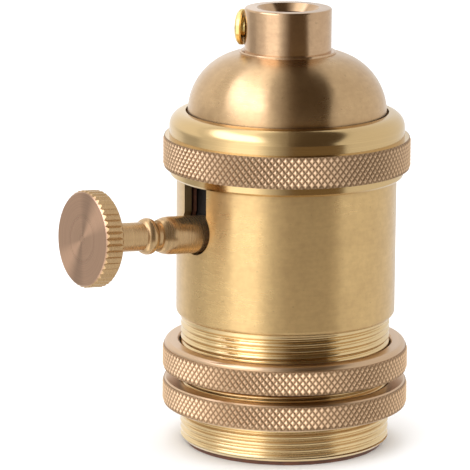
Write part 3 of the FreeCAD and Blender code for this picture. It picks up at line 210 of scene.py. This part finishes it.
class Graph:
    """A node tree under construction."""

    def __init__(self, tree):
        self.tree = tree
        tree.nodes.clear()

    def node(self, kind, settings=None, values=None, output=0):
        """Adds a node with its settings, then the values or links of its inputs."""
        made = self.tree.nodes.new(kind)
        for key, value in (settings or {}).items():
            if key == "stops":
                self.set_stops(made.color_ramp, value)
            else:
                setattr(made, key, value)
        for key, value in (values or {}).items():
            if isinstance(value, Socket):
                self.tree.links.new(value.link, made.inputs[key])
            else:
                made.inputs[key].default_value = value
        return Socket(self, made.outputs[output]) if made.outputs else None

    def set_stops(self, ramp, stops):
        while len(ramp.elements) < len(stops):
            ramp.elements.new(0.5)
        for element, (place, tone) in zip(ramp.elements, stops):
            element.position, element.color = place, tone

    def vector(self, operation, first, second=(0.0, 0.0, 0.0)):
        settings = {"operation": operation}
        return self.node("ShaderNodeVectorMath", settings, {0: first, 1: second})

    def place(self):
        """Object coordinates, in metres."""
        return self.node("ShaderNodeTexCoord", output="Object")

    def turned_place(self, turn, centre=(0.0, 0.0, 0.0)):
        """Object coordinates measured from a centre and then turned."""
        moved = self.vector("SUBTRACT", self.place(), centre)
        return self.node("ShaderNodeMapping", None, {"Vector": moved, "Rotation": turn})

    def parts(self, vector):
        """The x, y and z of a vector."""
        split = self.node("ShaderNodeSeparateXYZ", None, {0: vector})
        return [Socket(self, output) for output in split.link.node.outputs]

    def join(self, x, y, z):
        """A vector of x, y and z."""
        return self.node("ShaderNodeCombineXYZ", None, {0: x, 1: y, 2: z})

    def noise(self, vector, scale, detail=2.0, roughness=0.5):
        values = {"Vector": vector, "Scale": scale, "Detail": detail, "Roughness": roughness}
        return self.node("ShaderNodeTexNoise", None, values)

    def mix(self, factor, first, second):
        settings = {"data_type": "RGBA"}
        return self.node("ShaderNodeMix", settings, {0: factor, 6: first, 7: second}, output=2)

    def bump(self, height, distance, strength):
        values = {"Height": height, "Distance": distance, "Strength": strength}
        return self.node("ShaderNodeBump", None, values)


class Finish(Graph):
    """A procedural material under construction."""

    def __init__(self, name):
        self.material = bpy.data.materials.new(name)
        self.material.use_nodes = True
        super().__init__(self.material.node_tree)

    def set(self, **values):
        """Closes the material with a Principled shader; a name's _ stands for a space."""
        inputs = {name.replace("_", " "): value for name, value in values.items()}
        return self.close(self.node("ShaderNodeBsdfPrincipled", None, inputs))

    def close(self, shader):
        self.node("ShaderNodeOutputMaterial", None, {"Surface": shader})
        return self.material


def shade(tone, factor):
    """A colour made lighter or darker, with an alpha of 1."""
    return tuple(min(1.0, c * factor) for c in tone) + (1.0,)


def tinted(tone, red, green, blue):
    """A colour with its red, green and blue changed by factors."""
    return (tone[0] * red, tone[1] * green, tone[2] * blue)


# ------------------------------------------------------------------ materials


def brushed(finish, tone, lines):
    """Drawn brass turned round the vertical axis: its colour, its clouds and its height."""
    where = finish.place()
    x, y, z = finish.parts(where)
    grain = finish.noise(finish.join(0.0, 0.0, z), lines, 3.0, 0.6)
    streak = finish.noise(finish.join(x * 0.3, y * 0.3, z * 2.0), 900.0, 2.0)
    cloud = finish.noise(where, 90.0, 3.0)
    clouds = cloud.spread(0.35, 0.65) * 0.6 + streak.spread(0.3, 0.7) * 0.4
    blush = finish.noise(where, 750.0, 4.0, 0.7).spread(0.3, 0.7) * 0.5 + clouds * 0.5
    spots = finish.noise(where, 1300.0, 1.0).spread(0.73, 0.78)
    dull = tinted(tone, 0.93, 0.9, 0.9)
    tarnish = finish.mix(blush, shade(dull, 0.95), shade(tone, 1.08))
    tarnish = finish.mix(spots * 0.3, tarnish, shade(tone, 0.5))
    return tarnish, clouds, grain * 0.7 + streak * 0.3


def satin_brass(name, tone, lines, rough, anisotropy):
    """Drawn brass with a faint cloudy tarnish."""
    finish = Finish(name)
    tarnish, clouds, height = brushed(finish, tone, lines)
    return finish.set(
        Base_Color=tarnish,
        Metallic=1.0,
        Roughness=clouds.spread(0.0, 1.0, rough * 1.1, rough * 0.9),
        Anisotropic=anisotropy,
        Anisotropic_Rotation=0.25,
        Normal=finish.bump(height, 0.004 * MM, 0.5),
    )


def shell_brass(name, tone, sleeve_tone):
    """Satin brass with fine scratches on the shell, and cleaner, smoother brass on its sleeve."""
    # the share of the shell that scatters light, and how much of that the sleeve's foot has
    scratched, foot_scratched = 0.18, 0.7
    finish = Finish(name)
    tarnish, clouds, height = brushed(finish, tone, 5500.0)
    z = finish.parts(finish.place())[2]
    satin = z.spread(SLEEVE_TOP - 0.2 * MM, SLEEVE_TOP + 0.6 * MM)
    foot = z.spread(4.0 * MM, 9.0 * MM, foot_scratched, 0.0)
    clean = finish.mix(clouds, shade(sleeve_tone, 0.95), shade(sleeve_tone, 1.04))
    return finish.set(
        Base_Color=finish.mix(satin, clean, tarnish),
        Metallic=1.0 - (satin + foot) * scratched,
        Roughness=(satin * 0.35 + 0.65) * clouds.spread(0.0, 1.0, 0.33, 0.27),
        Anisotropic=0.9,
        Anisotropic_Rotation=0.25,
        Normal=finish.bump(height, 0.004 * MM, 0.5),
    )


def knurled_brass(name, tone, turned_tone, turned_rough):
    """Dull diamond facets with painted shade in their grooves and lighter worn points, between
    plain turned faces.
    """
    finish = Finish(name)
    where = finish.place()
    x, y, z = finish.parts(where)
    radius = (x * x + y * y).apply("SQRT")
    crest = radius.spread(GROOVE_RADIUS, POINT_RADIUS)
    band = radius.spread(*BAND_EDGE)
    grit = finish.noise(where, 2600.0, 2.0)
    lines = finish.noise(finish.join(radius, 0.0, z), 6000.0, 3.0, 0.6)
    # the grooves' dark colour is painted shade; the lighter points stand for wear
    groove_shade_tone = tinted(tone, 1.0, 0.86, 0.7)
    groove_shade_and_worn_points = finish.mix(crest, shade(groove_shade_tone, 0.44), shade(tone, 1.3))
    turned = finish.mix(lines.spread(0.3, 0.7), shade(turned_tone, 0.97), shade(turned_tone, 1.05))
    rough = crest.spread(0.0, 1.0, 0.46, 0.36) + lines * 0.06
    return finish.set(
        Base_Color=finish.mix(band, turned, groove_shade_and_worn_points),
        Metallic=1.0 - band * 0.18,
        Roughness=band.spread(0.0, 1.0, turned_rough, 0.0) + band * rough,
        Normal=finish.bump(grit * band + lines * 0.3, 0.008 * MM, 0.4),
    )


def knob_brass(name, tone):
    """Turned circles round the switch axis, as a lathe leaves them on knob and stem.

    On the face, bright and dark sectors of painted highlight and painted shade stand for the light
    that they spread.
    """
    # twice the angles from the painted bright and dark sectors to the face's own x axis, in
    # radians
    painted_bright_sector, painted_dark_sector = 1.45, 0.45
    finish = Finish(name)
    turn = (0.0, math.pi / 2 - SWITCH_SLOPE, 0.0)
    x, y, z = finish.parts(finish.turned_place(turn, centre=(0.0, 0.0, SWITCH_HEIGHT)))
    radius = (x * x + y * y).apply("SQRT")
    face = z.apply("ABSOLUTE").spread(*KNOB_FACE)
    rings = finish.noise(finish.join(0.0, radius, 0.0), 5200.0, 2.0)
    bands = finish.noise(finish.join(radius * 0.4, 0.0, z), 3000.0, 2.0)
    # painted highlight and painted shade: bright and dark sectors in the face's colour, in place
    # of the light that the turned circles spread
    angle = y.apply("ARCTAN2", x) * 2.0
    light = (angle + painted_bright_sector).apply("COSINE").spread(0.45, 1.05)
    dark = (angle + painted_dark_sector).apply("COSINE").spread(0.55, 1.05)
    painted_fan = radius.spread(0.0, 1.2 * MM) * (light * 0.5 - dark * 0.3) + 0.35
    painted_sheen = painted_fan + (rings.spread(0.35, 0.65) - 0.5) * 0.16
    rosy = tinted(tone, 0.86, 0.80, 0.88)
    face_with_painted_sheen = finish.mix(painted_sheen.apply("MAXIMUM"), shade(rosy, 0.72), shade(rosy, 1.5))
    barrel = tinted(tone, 1.0, 0.98, 0.84)
    wall = finish.mix(rings.spread(0.35, 0.65), shade(barrel, 0.86), shade(barrel, 1.04))
    return finish.set(
        Base_Color=finish.mix(face, wall, face_with_painted_sheen),
        Metallic=face * 0.1 + 0.9,
        Roughness=bands.spread(0.3, 0.7, 0.22, 0.31) + face * 0.05,
        Normal=finish.bump(rings * 0.6 + bands * 0.4, 0.010 * MM, 0.4),
    )


def sheet_metal(name, tone, rough):
    """Thin metal, rolled or pressed, with small stains."""
    finish = Finish(name)
    where = finish.place()
    stain = finish.noise(where, 400.0, 4.0).spread(0.35, 0.7)
    return finish.set(
        Base_Color=finish.mix(stain, shade(tone, 1.05), shade(tone, 0.85)),
        Metallic=1.0,
        Roughness=stain.spread(0.0, 1.0, rough * 0.85, rough * 1.2),
        Normal=finish.bump(finish.noise(where, 5000.0, 2.0), 0.01 * MM, 0.3),
    )


def moulded(name, tone):
    """Black moulding with a faint flow texture."""
    finish = Finish(name)
    flow = finish.noise(finish.place(), 700.0, 4.0)
    return finish.set(
        Base_Color=finish.mix(flow.spread(0.3, 0.7), shade(tone, 0.8), shade(tone, 1.3)),
        Metallic=0.0,
        Specular_IOR_Level=0.25,
        Roughness=flow.spread(0.3, 0.7, 0.48, 0.62),
        Normal=finish.bump(flow, 0.03 * MM, 0.4),
    )


def fibre_board(name, tone):
    """Vulcanised fibre: warm brown, with fibres that run round the tube."""
    finish = Finish(name)
    where = finish.place()
    x, y, z = finish.parts(where)
    strands = finish.noise(finish.join(x * 0.25, y * 0.25, z), 2500.0, 4.0, 0.65)
    cloud = finish.noise(where, 350.0, 3.0)
    blend = strands.spread(0.3, 0.7) * 0.6 + cloud.spread(0.3, 0.7) * 0.4
    return finish.set(
        Base_Color=finish.mix(blend, shade(tone, 0.65), shade(tone, 1.35)),
        Metallic=0.0,
        Roughness=blend.spread(0.0, 1.0, 0.55, 0.75),
        Normal=finish.bump(strands, 0.03 * MM, 0.6),
    )


def plain_floor(name, tone):
    """A pale matt floor."""
    finish = Finish(name)
    grain = finish.noise(finish.place(), 60.0, 2.0)
    return finish.set(
        Base_Color=finish.mix(grain.spread(0.3, 0.7), shade(tone, 0.99), shade(tone, 1.0)),
        Roughness=0.9,
    )


# nodes whose finish differs from that of the others in their slot
OWN_FINISH = {"knob": "knob_brass", "union_ring": "union_brass", "dome_cap": "dome_brass"}


def make_finishes(tones):
    """Every material, by its slot in the record or by the name in OWN_FINISH."""
    dark_knurl = tinted(tones.knurled, 0.84, 0.84, 0.84)
    return {
        "satin_brass": shell_brass("satin_shell", tones.shell, tones.sleeve),
        "dome_brass": satin_brass("satin_dome", tones.dome, 5500.0, 0.3, 0.9),
        "turned_brass": satin_brass("turned_neck", tones.turned, 6000.0, 0.2, 0.5),
        "knurled_brass": knurled_brass("knurled_rings", tones.knurled, tones.knurled, 0.28),
        "union_brass": knurled_brass("knurled_union", dark_knurl, tones.shoulder, 0.17),
        "knob_brass": knob_brass("turned_knob", tones.turned),
        "bright_brass": sheet_metal("bright_screws", tones.bright, 0.22),
        "socket_metal": sheet_metal("lamp_thread_sheet", tones.socket, 0.3),
        "contact_metal": sheet_metal("contact_bronze", tones.contact, 0.35),
        "spring_steel": sheet_metal("detent_steel", tones.spring, 0.3),
        "moulding": moulded("black_moulding", tones.moulding),
        "fibre": fibre_board("brown_fibre", tones.fibre),
    }


def dress(piece, material):
    """Makes a material the only one on a piece."""
    piece.data.materials.clear()
    piece.data.materials.append(material)


# ------------------------------------------------------------------ meshes


SHARP = math.radians(28)
THREAD_SHARP = math.radians(60)

# a thread's rounded ridge: parts of the pitch, and parts of the depth under the crest
RIDGE = (
    (0.0, 0.0), (0.12, 0.05), (0.3, 0.55), (0.42, 0.95),
    (0.5, 1.0), (0.58, 0.95), (0.7, 0.55), (0.88, 0.05),
)


def new_object(name, mesh):
    """Turns a bmesh into an object of the scene."""
    data = bpy.data.meshes.new(name)
    mesh.to_mesh(data)
    mesh.free()
    made = bpy.data.objects.new(name, data)
    bpy.context.scene.collection.objects.link(made)
    return made


def finished_piece(name, mesh, body, node):
    """Adds a piece that rides on a body and stands for a node of the CAD."""
    piece = new_object(name, mesh)
    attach(piece, body)
    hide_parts(node)


def copy_of(node):
    """A merged copy of a CAD node's mesh."""
    mesh = bmesh.new()
    mesh.from_mesh(NODES[node].data)
    bmesh.ops.remove_doubles(mesh, verts=mesh.verts, dist=0.001 * MM)
    return mesh


def reach(vertex):
    """Distance from the holder's axis."""
    return math.hypot(vertex.co.x, vertex.co.y)


def drop_wall(mesh, radius, low, high):
    """Removes a round wall of this radius between two heights."""
    slack = 0.03 * MM

    def on_wall(vertex):
        inside = low - slack < vertex.co.z < high + slack
        return inside and abs(reach(vertex) - radius) < slack

    wall = [face for face in mesh.faces if all(on_wall(v) for v in face.verts)]
    bmesh.ops.delete(mesh, geom=wall, context="FACES")


def cut_through(mesh, place, way, clear=False):
    """Cuts a mesh with a plane; clear also drops what lies on the side that way points to."""
    bmesh.ops.bisect_plane(
        mesh,
        geom=mesh.verts[:] + mesh.edges[:] + mesh.faces[:],
        plane_co=place,
        plane_no=way,
        dist=0.0001 * MM,
        clear_outer=clear,
    )


def thread_skin(pitch, depth, crest, low, high, steps, inward=False):
    """A helical thread between two heights, spun from one line of rounded ridges."""
    mesh = bmesh.new()
    side = 1 if inward else -1
    # whole turns, with spare ones below and above that the cuts take off
    turns = math.ceil((high - low) / pitch) + 2
    corners = [
        mesh.verts.new((crest + side * depth * drop, 0, low + (turn + part) * pitch))
        for turn in range(-1, turns)
        for part, drop in RIDGE
    ]
    edges = [mesh.edges.new(pair) for pair in zip(corners, corners[1:])]
    bmesh.ops.spin(
        mesh,
        geom=corners + edges,
        cent=(0, 0, 0),
        axis=(0, 0, 1),
        dvec=(0, 0, pitch / steps),
        angle=math.tau,
        steps=steps,
        use_merge=False,
        use_normal_flip=inward,
    )
    bmesh.ops.remove_doubles(mesh, verts=mesh.verts, dist=0.002 * MM)
    cut_through(mesh, (0, 0, low), (0, 0, -1), clear=True)
    cut_through(mesh, (0, 0, high), (0, 0, 1), clear=True)
    return mesh


def reshape(mesh, form):
    """Moves each vertex in or out to the radius that form(height, radius) gives."""
    for vertex in mesh.verts:
        radius = reach(vertex)
        factor = form(vertex.co.z, radius) / radius
        vertex.co.x *= factor
        vertex.co.y *= factor


def smooth(mesh, sharp):
    """Shades a mesh smooth, apart from the edges that turn by more than sharp."""
    for face in mesh.faces:
        face.smooth = True
    for edge in mesh.edges:
        if len(edge.link_faces) == 2 and edge.calc_face_angle(0) > sharp:
            edge.smooth = False


def add_mesh(mesh, other):
    """Adds another bmesh to mesh and frees it."""
    data = bpy.data.meshes.new("added")
    other.to_mesh(data)
    other.free()
    mesh.from_mesh(data)
    bpy.data.meshes.remove(data)


# ------------------------------------------------------------------ threaded pieces


class OBJECT_OT_threaded_shell(bpy.types.Operator):
    """Add the body shell with its sleeve thread and its union thread"""

    bl_idname = "object.threaded_shell"
    bl_label = "Threaded Shell"

    def execute(self, context):
        cut = context.scene.lamp_holder_threads
        shell = copy_of("body_shell")
        drop_wall(shell, SLEEVE_CREST, SLEEVE_CHAMFER, SLEEVE_TOP)
        smooth(shell, SHARP)
        add_mesh(shell, self.sleeve_thread(cut))
        drop_wall(shell, UNION_CREST, UNION_LOW, UNION_HIGH)
        add_mesh(shell, self.union_thread(cut))
        finished_piece("threaded_shell", shell, "holder", "body_shell")
        return {"FINISHED"}

    def sleeve_thread(self, cut):
        """The thread of the sleeve, which runs out at its top and is chamfered at its foot."""
        run_out = 0.9 * MM
        thread = thread_skin(
            cut.pitch, cut.sleeve_depth, SLEEVE_CREST, 0.0, SLEEVE_TOP, cut.steps
        )

        def form(height, radius):
            fade = min(1.0, max(0.0, (SLEEVE_TOP - height) / run_out))
            faded = SLEEVE_CREST - (SLEEVE_CREST - radius) * fade
            return min(faded, SLEEVE_CREST - SLEEVE_CHAMFER + height)

        reshape(thread, form)
        smooth(thread, THREAD_SHARP)
        return thread

    def union_thread(self, cut):
        """The thread under the union ring, open where the knob's slot runs through it."""
        run_in, run_out = 0.6 * MM, 0.4 * MM
        thread = thread_skin(
            cut.pitch, cut.union_depth, UNION_CREST, UNION_LOW, UNION_HIGH, cut.steps
        )

        def form(height, radius):
            fade = min(1.0, (height - UNION_LOW) / run_in, (UNION_HIGH - height) / run_out)
            return UNION_CREST - (UNION_CREST - radius) * max(0.0, fade)

        def in_slot(place):
            return place.x < 0 and abs(place.y) < SLOT_HALF_WIDTH

        reshape(thread, form)
        for side in (-1, 1):
            cut_through(thread, (0, side * SLOT_HALF_WIDTH, 0), (0, side, 0))
        opening = [face for face in thread.faces if in_slot(face.calc_center_median())]
        bmesh.ops.delete(thread, geom=opening, context="FACES")
        smooth(thread, THREAD_SHARP)
        return thread


class OBJECT_OT_threaded_neck(bpy.types.Operator):
    """Add the neck collar with the thread of the cable entry cut into it"""

    bl_idname = "object.threaded_neck"
    bl_label = "Threaded Neck"

    def execute(self, context):
        cut = context.scene.lamp_holder_threads
        run_in, run_out = 0.5 * MM, 0.3 * MM
        bottom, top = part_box("neck_collar")
        low, high = bottom.z, top.z - ENTRY_COUNTERSINK
        neck = copy_of("neck_collar")
        drop_wall(neck, ENTRY_CORE, low, high)
        smooth(neck, SHARP)
        thread = thread_skin(
            cut.entry_pitch, cut.entry_depth, ENTRY_CORE, low, high, cut.steps // 2, inward=True
        )

        def form(height, radius):
            fade = min(1.0, (high - height) / run_out, (height - low) / run_in)
            return ENTRY_CORE + (radius - ENTRY_CORE) * max(0.0, fade)

        reshape(thread, form)
        smooth(thread, THREAD_SHARP)
        add_mesh(neck, thread)
        finished_piece("threaded_neck", neck, "holder", "neck_collar")
        return {"FINISHED"}


class OBJECT_OT_holder_finishes(bpy.types.Operator):
    """Give every piece of the holder its metal, moulding or fibre"""

    bl_idname = "object.holder_finishes"
    bl_label = "Holder Finishes"

    def execute(self, context):
        made = make_finishes(context.scene.lamp_holder_colours)
        for node, piece in NODES.items():
            dress(piece, made[OWN_FINISH.get(node, SLOT_OF[node])])
        for name, node in (("threaded_shell", "body_shell"), ("threaded_neck", "neck_collar")):
            dress(bpy.data.objects[name], made[SLOT_OF[node]])
        return {"FINISHED"}


# ------------------------------------------------------------------ stage


CAMERA_PLACE = (-0.3649, -0.5369, 0.1795)
CAMERA_AIM = (-0.00788, 0.00536, 0.03842)
CAMERA_BEARING = math.atan2(CAMERA_PLACE[1], CAMERA_PLACE[0])
FLOOR_REACH = 3.0
PANEL_REACH = 2.5

# place, size and power of the soft lamps, and the point that they face
LAMPS = {
    "key_lamp": ((-0.9, -0.5, 0.8), 0.9, 6.5),
    "fill_lamp": ((0.8, -0.9, 0.7), 1.2, 5.5),
    "top_lamp": ((0.0, 0.2, 1.3), 1.6, 11.0),
}
LAMP_AIM = (0.0, 0.0, 0.04)

# bearing from the camera in degrees, positive to its right, and the brightness there
PANELS = (
    (-180, 1.05), (-140, 1.15), (-124, 0.95), (-116, 0.62), (-98, 0.58), (-90, 0.85),
    (-74, 1.10), (-64, 1.40), (-56, 1.85), (-32, 1.85), (-26, 1.40), (-18, 0.85),
    (-6, 0.45), (5, 0.16), (15, 0.10), (57.5, 0.10), (60.5, 0.88), (100, 0.92), (180, 0.92),
)
BRIGHTEST = max(level for bearing, level in PANELS)

# what stands before the panels: a warm glow and a pale table low down, a side light at the
# left, and a cool key light high up; a bearing is a part of a turn here, with 0.5 at the
# camera, and a height is the sine of the elevation
GLOW_TONE = (0.35, 0.25, 0.14)
GLOW_HEIGHT = (-0.32, 0.02)
TABLE_LEVEL = 0.8
TABLE_HEIGHT = (-0.42, -0.28)
SIDE_LEVEL = 1.15
SIDE_BEARING = (0.25, 0.29)
KEY_LEVEL = 2.6
KEY_TONE = (0.95, 1.0, 1.25, 1.0)
KEY_BEARING = (0.29, 0.33, 0.40, 0.45)
KEY_HEIGHT = (0.2, 0.4, 0.75, 0.9)


def panel_tone(level):
    """White where bright; the dark gaps between panels take the warmth of the brass."""
    warmth = max(0.0, 1.0 - level / 0.6)
    return (level, level * (1.0 - 0.30 * warmth), level * (1.0 - 0.58 * warmth))


def panel_walls(graph, bearing):
    """The brightness all round, over a bearing that runs from 0 to 1."""
    stops = [
        (turn / 360 + 0.5, shade(panel_tone(level), 1.0 / BRIGHTEST)) for turn, level in PANELS
    ]
    return graph.node("ShaderNodeValToRGB", {"stops": stops}, {"Fac": bearing})


def panel_light(name):
    """Light panels all round the stage, which only the metal's reflections see.

    Levels are parts of the brightest one, which is the strength of the whole.
    """
    finish = Finish(name)
    unit = finish.vector("NORMALIZE", finish.turned_place((0.0, 0.0, -CAMERA_BEARING)))
    ahead, right, up = finish.parts(unit)
    high = up.spread(-0.2, 0.1)
    wide = high * (right.apply("MAXIMUM") * 0.4 + 0.35) + 1.0
    bearing = (right * wide).apply("ARCTAN2", ahead + up.apply("MAXIMUM") * 0.66)
    bearing = bearing * (0.5 / math.pi) + 0.5
    glow = finish.mix(up.spread(*GLOW_HEIGHT), shade(GLOW_TONE, 1.0 / BRIGHTEST), BLACK)
    table = finish.mix(up.spread(*TABLE_HEIGHT), shade((TABLE_LEVEL,) * 3, 1.0 / BRIGHTEST), BLACK)
    side = high * bearing.spread(*SIDE_BEARING, SIDE_LEVEL / BRIGHTEST, 0.0)
    light = panel_walls(finish, bearing)
    for other in (glow, table, finish.join(side, side, side)):
        light = finish.vector("MAXIMUM", light, other)
    key = bearing.window(*KEY_BEARING) * up.window(*KEY_HEIGHT) * (KEY_LEVEL / BRIGHTEST)
    light = finish.vector("ADD", light, finish.mix(key, BLACK, KEY_TONE))
    emission = {"Color": light, "Strength": BRIGHTEST}
    return finish.close(finish.node("ShaderNodeEmission", None, emission))


class OBJECT_OT_holder_stage(bpy.types.Operator):
    """Add the floor, the light panels, the lamps, the white background and the camera"""

    bl_idname = "object.holder_stage"
    bl_label = "Holder Stage"

    def execute(self, context):
        look = context.scene.lamp_holder_stage
        context.scene.view_settings.view_transform = "Standard"
        self.floor(look)
        self.panels()
        self.lamps(context.scene)
        self.background(context.scene, look)
        self.camera(context.scene, look)
        return {"FINISHED"}

    def floor(self, look):
        mesh = bmesh.new()
        bmesh.ops.create_grid(mesh, x_segments=1, y_segments=1, size=FLOOR_REACH)
        bmesh.ops.translate(mesh, verts=mesh.verts, vec=(0, 0, CAD_BOX[0].z))
        floor = new_object("floor", mesh)
        dress(floor, plain_floor("plain_floor", look.floor))
        floor.visible_glossy = False

    def panels(self):
        mesh = bmesh.new()
        bmesh.ops.create_uvsphere(mesh, u_segments=64, v_segments=32, radius=PANEL_REACH)
        ring = new_object("light_panels", mesh)
        dress(ring, panel_light("panel_light"))
        ring.visible_camera = False
        ring.visible_diffuse = False
        ring.visible_shadow = False

    def lamps(self, scene):
        for name, (place, size, power) in LAMPS.items():
            light = bpy.data.lights.new(name, "AREA")
            light.size, light.energy = size, power
            lamp = bpy.data.objects.new(name, light)
            aim = Vector(LAMP_AIM) - Vector(place)
            lamp.location = place
            lamp.rotation_euler = aim.to_track_quat("-Z", "Y").to_euler()
            lamp.visible_glossy = False
            scene.collection.objects.link(lamp)

    def background(self, scene, look):
        """White behind the holder, also where metal reflects it, and softer light on it."""
        world = bpy.data.worlds.new("white_background")
        world.use_nodes = True
        scene.world = world
        graph = Graph(world.node_tree)
        seen = graph.node("ShaderNodeLightPath", output="Is Camera Ray")
        for ray in ("Is Glossy Ray", "Is Transmission Ray"):
            seen = seen.apply("MAXIMUM", graph.node("ShaderNodeLightPath", output=ray))
        kind = "ShaderNodeBackground"
        ambient = graph.node(kind, None, {"Color": WHITE, "Strength": look.ambient})
        white = graph.node(kind, None, {"Color": WHITE, "Strength": 1.0})
        both = graph.node("ShaderNodeMixShader", None, {0: seen, 1: ambient, 2: white})
        graph.node("ShaderNodeOutputWorld", None, {"Surface": both})

    def camera(self, scene, look):
        data = bpy.data.cameras.new("camera")
        data.lens, data.sensor_width = look.lens, 36.0
        data.clip_start, data.clip_end = 0.01, 20.0
        camera = bpy.data.objects.new("camera", data)
        aim = Vector(CAMERA_AIM) - Vector(CAMERA_PLACE)
        roll = Matrix.Rotation(look.camera_roll, 3, "Z")
        camera.location = CAMERA_PLACE
        camera.rotation_euler = (aim.to_track_quat("-Z", "Y").to_matrix() @ roll).to_euler()
        scene.collection.objects.link(camera)
        scene.camera = camera


# ------------------------------------------------------------------ add-on


GROUPS = {
    "lamp_holder_threads": LampHolderThreads,
    "lamp_holder_colours": LampHolderColours,
    "lamp_holder_stage": LampHolderStage,
}
OPERATORS = (
    OBJECT_OT_threaded_shell,
    OBJECT_OT_threaded_neck,
    OBJECT_OT_holder_finishes,
    OBJECT_OT_holder_stage,
)


class VIEW3D_PT_lamp_holder(bpy.types.Panel):
    """The holder's sizes and colours, and a button for each operator"""

    bl_label = "Lamp Holder"
    bl_idname = "VIEW3D_PT_lamp_holder"
    bl_space_type = "VIEW_3D"
    bl_region_type = "UI"
    bl_category = "Lamp Holder"

    def draw(self, context):
        for group in GROUPS:
            box = self.layout.box()
            values = getattr(context.scene, group)
            for name in values.bl_rna.properties.keys():
                if name not in ("rna_type", "name"):
                    box.prop(values, name)
        for operator in OPERATORS:
            self.layout.operator(operator.bl_idname)


def register():
    for item in (*GROUPS.values(), *OPERATORS, VIEW3D_PT_lamp_holder):
        bpy.utils.register_class(item)
    for name, group in GROUPS.items():
        setattr(bpy.types.Scene, name, PointerProperty(type=group))


def unregister():
    for name in GROUPS:
        delattr(bpy.types.Scene, name)
    for item in reversed((*GROUPS.values(), *OPERATORS, VIEW3D_PT_lamp_holder)):
        bpy.utils.unregister_class(item)


def main():
    register()
    bpy.ops.object.threaded_shell()
    bpy.ops.object.threaded_neck()
    bpy.ops.object.holder_finishes()
    bpy.ops.object.holder_stage()


if __name__ == "__main__":
    main()
